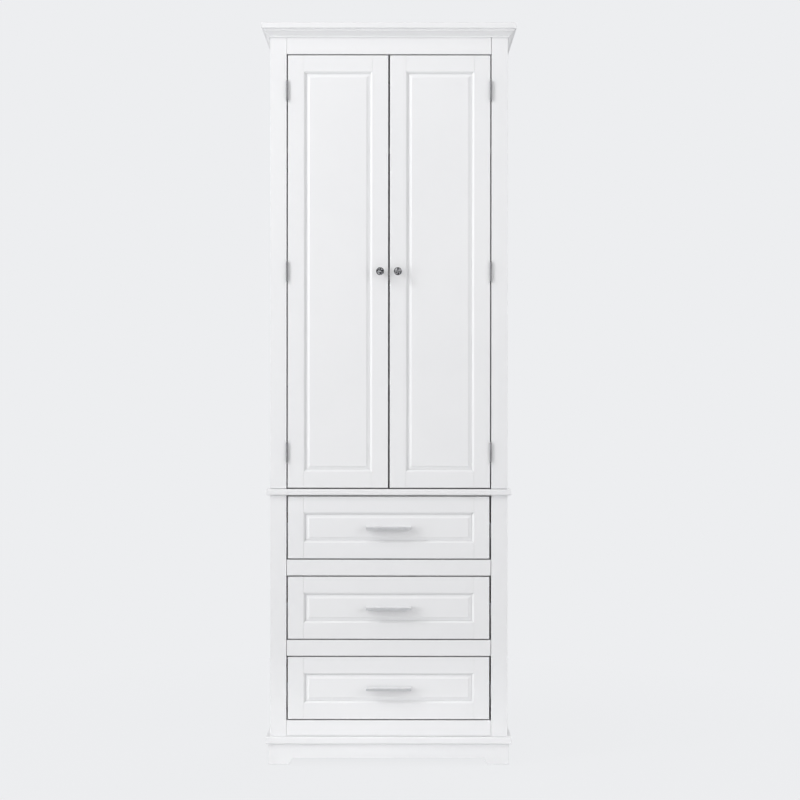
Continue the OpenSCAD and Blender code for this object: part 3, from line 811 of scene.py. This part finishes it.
@dataclass(frozen=True)
class Screw:
    """A countersunk screw, or a pan-head one where its head's foot is as wide as its top, in mm."""

    length: float
    head_r: float = 2.8
    foot_r: float = 1.4
    shank_r: float = 1.4
    recess: float = 0.7
    head_h: float = 1.2

    @property
    def sizes(self) -> dict[str, float]:
        """The inputs of the screws' tree."""
        return {"Length": self.length, "Head radius": self.head_r, "Recess": self.recess,
                "Head foot radius": self.foot_r, "Shank radius": self.shank_r,
                "Head height": self.head_h}


LEAF_SCREW = Screw(16.0)
STRIKE_SCREW = Screw(9.0)
KNOB_SCREW = Screw(31.6, head_r=4.0, foot_r=4.0, shank_r=2.0, recess=0.8)


@dataclass
class Workshop:
    """What every sub-assembly works with: the finishes, the trees and the ways to add a piece."""

    finishes: dict[Slot, Material]
    hinge_metal: Material
    shapes: NodeShapes
    made: int = 0

    def add(self, mesh: Mesh, node: str, body: Body, slot: Slot) -> None:
        """Adds the finished piece that stands for a CAD node.

        Args:
            mesh: the piece's mesh, in place.
            node: the CAD node, which also names the piece.
            body: the body that it rides on.
            slot: the slot that it takes its finish from.
        """
        if not mesh.materials:
            mesh.materials.append(self.finishes[slot])
        piece = in_scene(f"{node}_{slot.ending}", mesh)
        shading = piece.modifiers.new("even_shading", "WEIGHTED_NORMAL")
        shading.keep_sharp = True
        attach(piece, body.value)
        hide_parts(node)
        self.made += 1
        log.info("%s: %d faces on %s", piece.name, len(mesh.polygons), body.value)

    def soft_copy(self, node: str, body: Body, slot: Slot, radius: float, shortest: float = 8.0,
                  pick: Callable[[Edge], bool] = lambda edge: True,
                  material: Material | None = None,
                  joints: Sequence[OpenJoint | Slimming] = ()) -> None:
        """Adds a node's own shape, with flat areas in one face and its arrises taken off.

        Args:
            node: the CAD node.
            body: the body that it rides on.
            slot: its finish.
            radius: radius of the arrises, in mm, or 0 for none.
            shortest: shortest edge that is rounded, in mm.
            pick: further choice among the edges.
            material: a variant of the slot's finish.
            joints: open joints at the node's ends, and other fine cuts.
        """
        bm = merged(node)
        bmesh.ops.dissolve_limit(bm, angle_limit=FLAT_ANGLE, verts=bm.verts, edges=bm.edges)
        for joint in joints:
            joint.cut(bm)
        if radius:
            soften(bm, radius * MM, shortest * MM, pick)
        mesh = to_mesh(bm, node)
        if material:
            mesh.materials.append(material)
        self.add(mesh, node, body, slot)

    def repainted(self, node: str, slot: Slot) -> None:
        """Keeps a CAD node's own mesh and gives it its finish.

        Args:
            node: the CAD node.
            slot: its finish.
        """
        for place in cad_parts[node].material_slots:
            place.material = self.finishes[slot]
        log.info("%s: kept, %s", node, slot.ending)

    def repeated(self, node: str, body: Body, slot: Slot, tree: Tree,
                 *kinds: tuple[Sequence[Place], dict[str, float]]) -> None:
        """Adds a node's small pieces, which a tree sets on their places.

        Args:
            node: the CAD node.
            body: the body that they ride on.
            slot: their finish.
            tree: the Geometry Nodes tree.
            kinds: the places of each kind, and the tree's size inputs for it, in mm.
        """
        meshes = [self._run(tree, slot, places, sizes) for places, sizes in kinds]
        self.add(joined(meshes, node), node, body, slot)

    def _run(self, tree: Tree, slot: Slot, places: Sequence[Place],
             sizes: dict[str, float]) -> Mesh:
        """Runs a tree on a set of places.

        Args:
            tree: the Geometry Nodes tree.
            slot: the finish of the pieces.
            places: place and aim of each piece.
            sizes: the tree's size inputs, in mm.

        Returns:
            One plain mesh with all the pieces.
        """
        base = bpy.data.meshes.new(tree.name)
        base.from_pydata([tuple(p) for p, _ in places], [], [])
        aim = base.attributes.new("aim", "FLOAT_VECTOR", "POINT")
        for i, (_, direction) in enumerate(places):
            aim.data[i].vector = direction
        holder = in_scene(tree.name, base)
        modifier = holder.modifiers.new("pieces", "NODES")
        modifier.node_group = tree
        for item in tree.interface.items_tree:
            if item.item_type == "SOCKET" and item.in_out == "INPUT":
                if item.name in sizes:
                    modifier[item.identifier] = sizes[item.name] * MM
                elif item.name == "Material":
                    modifier[item.identifier] = self.finishes[slot]
        graph = bpy.context.evaluated_depsgraph_get()
        mesh = bpy.data.meshes.new_from_object(holder.evaluated_get(graph), depsgraph=graph)
        holder.modifiers.remove(modifier)
        bpy.data.objects.remove(holder)
        bm = bmesh.new()
        bm.from_mesh(mesh)
        bmesh.ops.recalc_face_normals(bm, faces=bm.faces)
        shaded = to_mesh(bm, tree.name)
        for material in mesh.materials:
            shaded.materials.append(material)
        bpy.data.meshes.remove(mesh)
        return shaded


@dataclass
class Carcass:
    """The plinth, boards, sides, face frame, mouldings and shelves."""

    shop: Workshop
    arris: float = 0.6
    joint: float = 0.35
    wide_joint: float = 0.9
    rail_joint: float = 1.1
    base_joint: float = 0.8
    low_rail_top: float = 150.0
    shelf_arris: float = 0.6
    plinth_arris: float = 0.7
    wood_arris: float = 0.4
    catch_edge: float = 5.0
    glide_chamfer: float = 0.8
    pin_chamfer: float = 0.6

    def build(self) -> None:
        """Makes every piece of the carcass."""
        self.boards(Slot.WHITE_PAINT, 0.0, "base_board", "mid_board", "top_board",
                    "crown_moulding")
        self.face_frame()
        self.panels()
        self.plinth()
        self.inside()

    def boards(self, slot: Slot, arris: float, *nodes: str) -> None:
        """Adds boards of one finish whose arrises are alike, in mm."""
        for node in nodes:
            self.shop.soft_copy(node, Body.CABINET, slot, arris)

    def face_frame(self) -> None:
        """Stiles and rails, whose joints show as fine lines."""
        more = self.rail_joint - self.joint
        across = (OpenJoint(0, self.joint, self.joint),
                  OpenJoint(0, more, more, self.low_rail_top), OpenJoint(2, self.base_joint, 0.0))
        for node, joints in (("upper_stiles", (OpenJoint(2, self.wide_joint, self.joint),)),
                             ("lower_stiles", (OpenJoint(2, 0.0, self.joint),)),
                             ("frieze_rail", (OpenJoint(0, self.joint, self.wide_joint),)),
                             ("lower_rails", across)):
            self.shop.soft_copy(node, Body.CABINET, Slot.WHITE_PAINT, self.arris, joints=joints)

    def panels(self) -> None:
        """Side panels and backs."""
        for side in ("left", "right"):
            self.shop.repainted(f"upper_side_{side}", Slot.WHITE_PAINT)
            self.boards(Slot.WHITE_PAINT, self.arris, f"lower_side_{side}")
        self.boards(Slot.INSIDE_WHITE, self.wood_arris, "upper_back", "lower_back")

    def plinth(self) -> None:
        """Plinth boards, blocks and glides."""
        self.boards(Slot.WHITE_PAINT, self.plinth_arris, "plinth_front", "plinth_left",
                    "plinth_right")
        self.boards(Slot.RAW_WOOD, self.wood_arris, "plinth_back", "foot_blocks")
        feet = solids("floor_glides")
        self.shop.repeated(
            "floor_glides", Body.CABINET, Slot.GREY_PLASTIC, self.shop.shapes.rod,
            ([s.end(2, -1.0) for s in feet],
             {"Radius": feet[0].size.x / 2 / MM, "Length": feet[0].size.z / MM,
              "Chamfer": self.glide_chamfer}))

    def inside(self) -> None:
        """Shelves, pins, wall rail, packers and the magnet catch."""
        self.boards(Slot.INSIDE_WHITE, self.shelf_arris, "fixed_shelf", "adjustable_shelves",
                    "wall_rail")
        self.boards(Slot.RAW_WOOD, self.wood_arris, "runner_packers")
        self.shop.soft_copy("magnet_catch", Body.CABINET, Slot.GREY_PLASTIC, self.wood_arris,
                            self.catch_edge)
        pins = solids("shelf_pins")
        self.shop.repeated(
            "shelf_pins", Body.CABINET, Slot.ZINC_STEEL, self.shop.shapes.rod,
            ([s.end(0, s.inward) for s in pins],
             {"Radius": pins[0].size.z / 2 / MM, "Length": pins[0].size.x / MM,
              "Chamfer": self.pin_chamfer}))


@dataclass
class RaisedPanel:
    """A panel with a tongue in its frame's groove and a field with a coved margin, in mm."""

    member: float
    stick: float = 5.0
    tongue_w: float = 8.0
    tongue_t: float = 6.0
    tongue_set: float = 5.5
    field_set: float = 1.5
    quirk_w: float = 0.4
    quirk_h: float = 1.0
    cove_w: float = 9.0
    steps: int = 10
    break_w: float = 0.35
    break_h: float = 0.07
    edge_w: float = 0.4

    def outline(self) -> list[tuple[float, float]]:
        """Inset and depth of each ring, from the back's edge to the field's edge, in mm."""
        margin, deep = self.member + self.stick, self.tongue_set
        start, foot = margin + self.quirk_w, deep - self.quirk_h
        width, rise = self.cove_w - self.quirk_w, foot - self.field_set
        radius = (width ** 2 + rise ** 2) / (2 * rise)
        rings = [(margin - self.tongue_w, deep + self.tongue_t), (margin - self.tongue_w, deep),
                 (start, deep)]
        for i in range(self.steps + 1):
            t = (width - self.break_w) * i / self.steps
            rings.append((start + t, foot - radius + math.sqrt(radius ** 2 - t ** 2)))
        return rings + [(start + width, self.field_set + self.break_h),
                        (start + width + self.edge_w, self.field_set)]

    def mesh(self, name: str, lo: Vector, hi: Vector) -> Mesh:
        """Builds the panel for a frame.

        Args:
            name: the mesh's name.
            lo: the frame's low corner, at its face.
            hi: the frame's high corner.

        Returns:
            The panel's mesh.
        """
        bm = bmesh.new()
        rings = []
        for inset, depth in self.outline():
            i, y = inset * MM, lo.y + depth * MM
            left, right, foot, top = lo.x + i, hi.x - i, lo.z + i, hi.z - i
            corners = ((left, foot), (right, foot), (right, top), (left, top))
            rings.append([bm.verts.new((x, y, z)) for x, z in corners])
        for low, high in zip(rings, rings[1:]):
            for k in range(4):
                bm.faces.new((low[k], low[(k + 1) % 4], high[(k + 1) % 4], high[k]))
        bm.faces.new(rings[0])
        bm.faces.new(rings[-1])
        bmesh.ops.recalc_face_normals(bm, faces=bm.faces)
        mitres = [bm.edges.get((low[k], high[k])) for low, high in zip(rings, rings[1:])
                  for k in range(4)]
        return to_mesh(bm, name, creased=mitres)


@dataclass
class Door:
    """One door with its leaves, knob, strike plate and screws."""

    shop: Workshop
    body: Body
    arris: float = 0.45
    panel: RaisedPanel = field(default_factory=lambda: RaisedPanel(38.5))
    leaf_arris: float = 0.12
    strike_arris: float = 0.2
    strike_edge: float = 5.0
    strike_screw_most: float = 20.0
    knob_rounding: float = 0.7
    knob_sides: int = 96
    knob_edge_angle: float = 50.0
    knob_outline: tuple[tuple[float, float], ...] = (
        (0.0, 0.0), (6.2, 0.0), (6.2, 1.25), (4.2, 2.5), (3.6, 7.5), (4.2, 11.5), (8.4, 13.0),
        (9.6, 15.0), (9.6, 18.0), (8.8, 19.5), (7.4, 20.0), (7.2, 21.5), (5.0, 22.5),
        (3.0, 23.0), (2.8, 24.25), (1.2, 25.0), (0.0, 25.0))

    def build(self) -> None:
        """Makes every piece of the door."""
        shop, body, name = self.shop, self.body, self.body.value
        shop.soft_copy(f"{name}_frame", body, Slot.WHITE_PAINT, self.arris)
        lo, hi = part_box(f"{name}_frame")
        shop.add(self.panel.mesh(f"{name}_panel", Vector(lo), Vector(hi)), f"{name}_panel", body,
                 Slot.WHITE_PAINT)
        shop.soft_copy(f"{name}_hinge_leaves", body, Slot.SATIN_NICKEL, self.leaf_arris, 0.0,
                       material=shop.hinge_metal, joints=[barrel_slimming()])
        shop.soft_copy(f"{name}_strike", body, Slot.ZINC_STEEL, self.strike_arris,
                       self.strike_edge)
        self.knob(name)
        self.screws(name)

    def knob(self, name: str) -> None:
        """The turned knob.

        Args:
            name: the door's name.
        """
        lo, hi = (Vector(p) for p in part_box(f"{name}_knob"))
        foot = Vector(((lo.x + hi.x) / 2, hi.y, (lo.z + hi.z) / 2))
        outline = [(r * MM, h * MM) for r, h in rounded(self.knob_outline, self.knob_rounding)]
        mesh = to_mesh(turned(outline, foot, self.knob_sides), f"{name}_knob",
                       self.knob_edge_angle)
        self.shop.add(mesh, f"{name}_knob", self.body, Slot.POLISHED_NICKEL)

    def screws(self, name: str) -> None:
        """Six leaf screws, the knob's screw and the strike's screw.

        Args:
            name: the door's name.
        """
        out = 1.0 if self.body is Body.DOOR_RIGHT else -1.0
        leaf, knob, strike = [], [], []
        for s in solids(f"{name}_screws"):
            if s.size.x > s.size.y:
                leaf.append(s.end(0, out))
            else:
                long = s.size.y > self.strike_screw_most * MM
                (knob if long else strike).append(s.end(1, 1.0))
        self.shop.repeated(f"{name}_screws", self.body, Slot.ZINC_STEEL, self.shop.shapes.screw,
                           (leaf, LEAF_SCREW.sizes), (knob, KNOB_SCREW.sizes),
                           (strike, STRIKE_SCREW.sizes))


def barrel_slimming(share: float = 0.6, bore: float = 0.6, spare: float = 0.4) -> Slimming:
    """The slimming of the hinge barrels, round the hinge pins.

    Args:
        share: what is left of the barrels' radius.
        bore: share of the pin tips' radius within which nothing moves.
        spare: how far the barrels reach past the pins' tips, in mm.

    Returns:
        The slimming, for the leaves of either side.
    """
    tip = solids("hinge_pins")[0]
    radius = tip.size.x / 2 / MM
    return Slimming(abs(tip.centre.x) / MM, tip.centre.y / MM, radius * bore, radius + spare,
                    share)


def joined(meshes: Sequence[Mesh], name: str) -> Mesh:
    """Puts several meshes of one finish into one.

    Args:
        meshes: the meshes, which are removed.
        name: the new mesh's name.

    Returns:
        The joined mesh.
    """
    bm = bmesh.new()
    for mesh in meshes:
        bm.from_mesh(mesh)
    made = bpy.data.meshes.new(name)
    bm.to_mesh(made)
    bm.free()
    for material in meshes[0].materials:
        made.materials.append(material)
    for mesh in meshes:
        bpy.data.meshes.remove(mesh)
    return made


@dataclass
class FrameHinges:
    """The hinge parts that stay on the cabinet."""

    shop: Workshop
    leaf_arris: float = 0.12
    tip_h: float = 1.5
    tip_chamfer: float = 0.45
    pin_r: float = 1.5
    pin_chamfer: float = 0.1

    def build(self) -> None:
        """Makes the leaves, the pins and the screws."""
        slimming = barrel_slimming()
        self.shop.soft_copy("hinge_frame_leaves", Body.CABINET, Slot.SATIN_NICKEL,
                            self.leaf_arris, 0.0, material=self.shop.hinge_metal,
                            joints=[slimming])
        pins = solids("hinge_pins")
        tips, shafts = [], []
        for pin in pins:
            top, up = pin.end(2, 1.0)
            tips += [(top, up), pin.end(2, -1.0)]
            shafts.append((Vector((top.x, top.y, top.z - self.tip_h * MM)), up))
        tip_r = pins[0].size.x / 2 / MM * slimming.share
        shaft_l = pins[0].size.z / MM - 2 * self.tip_h
        self.shop.repeated(
            "hinge_pins", Body.CABINET, Slot.POLISHED_NICKEL, self.shop.shapes.rod,
            (tips, {"Radius": tip_r, "Length": self.tip_h, "Chamfer": self.tip_chamfer}),
            (shafts, {"Radius": self.pin_r, "Length": shaft_l, "Chamfer": self.pin_chamfer}))
        places = [s.end(0, s.inward) for s in solids("hinge_frame_screws")]
        self.shop.repeated("hinge_frame_screws", Body.CABINET, Slot.SATIN_NICKEL,
                           self.shop.shapes.screw, (places, LEAF_SCREW.sizes))


@dataclass
class Drawer:
    """One drawer with its front, box, pull and runners."""

    shop: Workshop
    body: Body
    arris: float = 0.45
    box_arris: float = 0.6
    pull_arris: float = 0.25
    pull_edge: float = 50.0
    runner_arris: float = RUNNER_ARRIS
    side_gaps: tuple[float, float] = (0.5, 1.4)
    panel: RaisedPanel = field(
        default_factory=lambda: RaisedPanel(38.0, quirk_w=0.8, quirk_h=1.3))

    def build(self) -> None:
        """Makes every piece of the drawer."""
        shop, body, name = self.shop, self.body, self.body.value
        shop.soft_copy(f"{name}_frame", body, Slot.WHITE_PAINT, self.arris,
                       joints=[OpenJoint(0, *self.side_gaps)])
        lo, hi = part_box(f"{name}_frame")
        shop.add(self.panel.mesh(f"{name}_panel", Vector(lo), Vector(hi)), f"{name}_panel", body,
                 Slot.WHITE_PAINT)
        shop.soft_copy(f"{name}_box", body, Slot.INSIDE_WHITE, self.box_arris)
        shop.soft_copy(f"{name}_bottom", body, Slot.INSIDE_WHITE, self.box_arris)
        shop.soft_copy(f"{name}_runners", body, Slot.ZINC_STEEL, self.runner_arris)
        shop.soft_copy(f"{name}_pull", body, Slot.SATIN_NICKEL, self.pull_arris, 0.0,
                       self.on_pull)

    def on_pull(self, edge: Edge) -> bool:
        """Says whether an edge is a long one of the pull or one of its end faces'."""
        return (any(abs(f.normal.x) > END_FACING for f in edge.link_faces)
                or edge.calc_length() > self.pull_edge * MM)


@dataclass(frozen=True)
class Lamp:
    """A soft lamp, with its way and distance from a point on the cabinet's middle line in metres.

    It looks at that point, or above it by what it is raised. Its beam is in degrees.
    """

    name: str
    target: float
    way: tuple[float, float, float]
    distance: float
    power: float
    width: float
    height: float
    raised: float = 0.0
    mirrored: bool = False
    beam: float = 180.0


@dataclass
class Studio:
    """Floor, background, lamps and camera."""

    lamp_plan: tuple[Lamp, ...] = (
        Lamp("key", 1.1, (-1.6, -1.0, 1.2), 4.3, 53.0, 1.0, 1.0, raised=1.4),
        Lamp("left", 1.3, (-1.6, -1.0, 0.3), 4.3, 57.0, 2.6, 2.6, raised=1.6),
        Lamp("low", 1.5, (-1.5, -1.0, -0.4), 4.0, 24.0, 2.4, 0.8, raised=0.8),
        Lamp("front", 1.3, (-0.25, -1.0, 0.35), 5.0, 8.0, 3.2, 3.2, raised=1.2),
        Lamp("over", 1.0, (-0.3, -1.0, 1.6), 4.2, 22.0, 2.6, 2.6, raised=0.6, mirrored=True),
        Lamp("right", 1.0, (1.2, -1.0, 0.4), 4.5, 64.0, 3.0, 3.0, raised=1.8),
        Lamp("toe", 0.06, (0.0, -1.0, 0.0), 0.75, 0.1, 1.0, 0.12, beam=50.0),
        Lamp("behind", 1.2, (0.6, 1.4, 1.1), 4.5, 80.0, 3.0, 3.0))
    background: Colour = (0.847, 0.855, 0.871)
    sky: float = 0.2
    floor_size: float = 60.0
    floor_tone: Colour = (0.8, 0.803, 0.81)
    floor_rough: float = 0.9
    floor_gloss: float = 0.1
    shadow_share: float = 0.05
    shadow_reach: tuple[float, float] = (0.4, 1.5)
    lens: float = 74.947
    sensor: float = 36.0
    eye: tuple[float, float, float] = (0.0267, -4.175, 0.8912)
    pitch: float = -0.191
    roll: float = 0.044

    def build(self) -> None:
        """Makes the whole studio."""
        self.world()
        self.floor()
        self.lamps()
        self.camera()
        bpy.context.scene.view_settings.view_transform = "Standard"

    @staticmethod
    def seen(g: Graph) -> Socket:
        """One where a ray comes straight, by gloss or through glass to the eye."""
        path = g.add("ShaderNodeLightPath").outputs
        both = g.math("MAXIMUM", path["Is Camera Ray"], path["Is Glossy Ray"])
        return g.math("MAXIMUM", both, path["Is Transmission Ray"])

    def world(self) -> None:
        """Even light from all round, behind a plain pale background."""
        world = bpy.data.worlds.new("studio")
        bpy.context.scene.world = world
        world.use_nodes = True
        g = Graph(world.node_tree)
        colour = g.blend(self.seen(g), rgba((self.sky,) * 3), rgba(self.background))
        g.link(colour, g.first("BACKGROUND").inputs["Color"])

    def floor(self) -> None:
        """A pale floor that keeps the cabinet's shadow and meets the background."""
        bm = bmesh.new()
        bmesh.ops.create_grid(bm, x_segments=1, y_segments=1, size=self.floor_size)
        mesh = bpy.data.meshes.new("floor")
        bm.to_mesh(mesh)
        bm.free()
        floor = in_scene("floor", mesh)
        material = bpy.data.materials.new("studio_floor")
        material.use_nodes = True
        g = Graph(material.node_tree)
        matt = g.first("BSDF_PRINCIPLED")
        matt.inputs["Base Color"].default_value = rgba(self.floor_tone)
        matt.inputs["Roughness"].default_value = self.floor_rough
        matt.inputs["Specular IOR Level"].default_value = self.floor_gloss
        place = g.add("ShaderNodeTexCoord").outputs["Object"]
        reach = g.add("ShaderNodeVectorMath", {0: place}, operation="LENGTH").outputs["Value"]
        near = g.spread(reach, *self.shadow_reach, self.shadow_share, 0.0)
        glow = g.add("ShaderNodeEmission", {"Color": rgba(self.background), "Strength": 1.0})
        share = g.math("MULTIPLY", self.seen(g), g.math("SUBTRACT", 1.0, near))
        mixed = g.add("ShaderNodeMixShader", {0: share, 1: matt.outputs[0], 2: glow.outputs[0]})
        g.link(mixed.outputs[0], g.first("OUTPUT_MATERIAL").inputs["Surface"])
        mesh.materials.append(material)

    def lamps(self) -> None:
        """Hangs every lamp, unseen by the camera."""
        for lamp in self.lamp_plan:
            light = bpy.data.lights.new(lamp.name, "AREA")
            light.shape, light.energy = "ELLIPSE", lamp.power
            light.size, light.size_y = lamp.width, lamp.height
            light.spread = math.radians(lamp.beam)
            holder = in_scene(lamp.name, light)
            aim = Vector((0.0, 0.0, lamp.target))
            holder.location = aim + Vector(lamp.way).normalized() * lamp.distance
            back = holder.location - aim - Vector((0.0, 0.0, lamp.raised))
            holder.rotation_euler = back.to_track_quat("Z", "Y").to_euler()
            holder.visible_camera = False
            holder.visible_glossy = lamp.mirrored

    def camera(self) -> None:
        """The camera at the photograph's angle, for a square image."""
        data = bpy.data.cameras.new("camera")
        data.lens, data.sensor_width = self.lens, self.sensor
        camera = in_scene("camera", data)
        turn = (Matrix.Rotation(math.radians(90 + self.pitch), 4, "X")
                @ Matrix.Rotation(math.radians(self.roll), 4, "Z"))
        camera.matrix_world = Matrix.Translation(self.eye) @ turn
        bpy.context.scene.camera = camera


def finishes(groups: ShaderGroups) -> dict[Slot, Material]:
    """Builds every finish.

    Args:
        groups: the shared node groups.

    Returns:
        The material of each slot.
    """
    made = {
        Slot.WHITE_PAINT: Lacquer("white_paint", (0.882, 0.884, 0.894), (0.857, 0.86, 0.873),
                                  0.34, 0.44),
        Slot.INSIDE_WHITE: Lacquer("inside_white", (0.87, 0.868, 0.86), (0.84, 0.837, 0.828),
                                   0.45, 0.58, fineness=600.0, strength=0.3, dust=0.1),
        Slot.RAW_WOOD: Timber("raw_wood", (0.66, 0.49, 0.31), (0.45, 0.29, 0.16), 0.6, 0.75),
        # Satin nickel: its lighter colour on faces that look up is a painted highlight.
        Slot.SATIN_NICKEL: Metal("satin_nickel", (0.66, 0.66, 0.67), (0.59, 0.59, 0.605),
                                 0.22, 0.34, top_highlight=(0.92, 0.92, 0.925)),
        # Polished nickel: the near-black patches in its colour are a painted reflection of dark
        # surroundings.
        Slot.POLISHED_NICKEL: Metal("polished_nickel", (0.45, 0.45, 0.46), (0.02, 0.02, 0.025),
                                    0.2, 0.3, grain=Grain.ALONG_Z, strength=0.05,
                                    patches=220.0, patch_edge=(0.42, 0.54)),
        Slot.ZINC_STEEL: Metal("zinc_steel", (0.7, 0.71, 0.73), (0.6, 0.615, 0.64), 0.3, 0.5,
                               grain=Grain.ALONG_Y),
        Slot.GREY_PLASTIC: Lacquer("grey_plastic", (0.46, 0.46, 0.47), (0.41, 0.41, 0.42),
                                   0.45, 0.6, fineness=1400.0, strength=0.4),
    }
    return {slot: finish.build(groups) for slot, finish in made.items()}


def main() -> None:
    """Builds the cabinet and its studio."""
    logging.basicConfig(level=logging.INFO, format="%(message)s")
    groups = ShaderGroups()
    hinge_metal = Metal("hinge_nickel", (0.36, 0.36, 0.37), (0.2, 0.2, 0.21), 0.3, 0.42,
                        grain=Grain.ALONG_Z).build(groups)
    shop = Workshop(finishes(groups), hinge_metal, NodeShapes())
    Carcass(shop).build()
    FrameHinges(shop).build()
    shop.soft_copy("cabinet_runners", Body.CABINET, Slot.ZINC_STEEL, RUNNER_ARRIS)
    for body in (Body.DOOR_LEFT, Body.DOOR_RIGHT):
        Door(shop, body).build()
    for body in (Body.TOP_DRAWER, Body.MIDDLE_DRAWER, Body.LOW_DRAWER):
        Drawer(shop, body).build()
    Studio().build()
    log.info("%d pieces", shop.made)


if __name__ == "__main__":
    main()
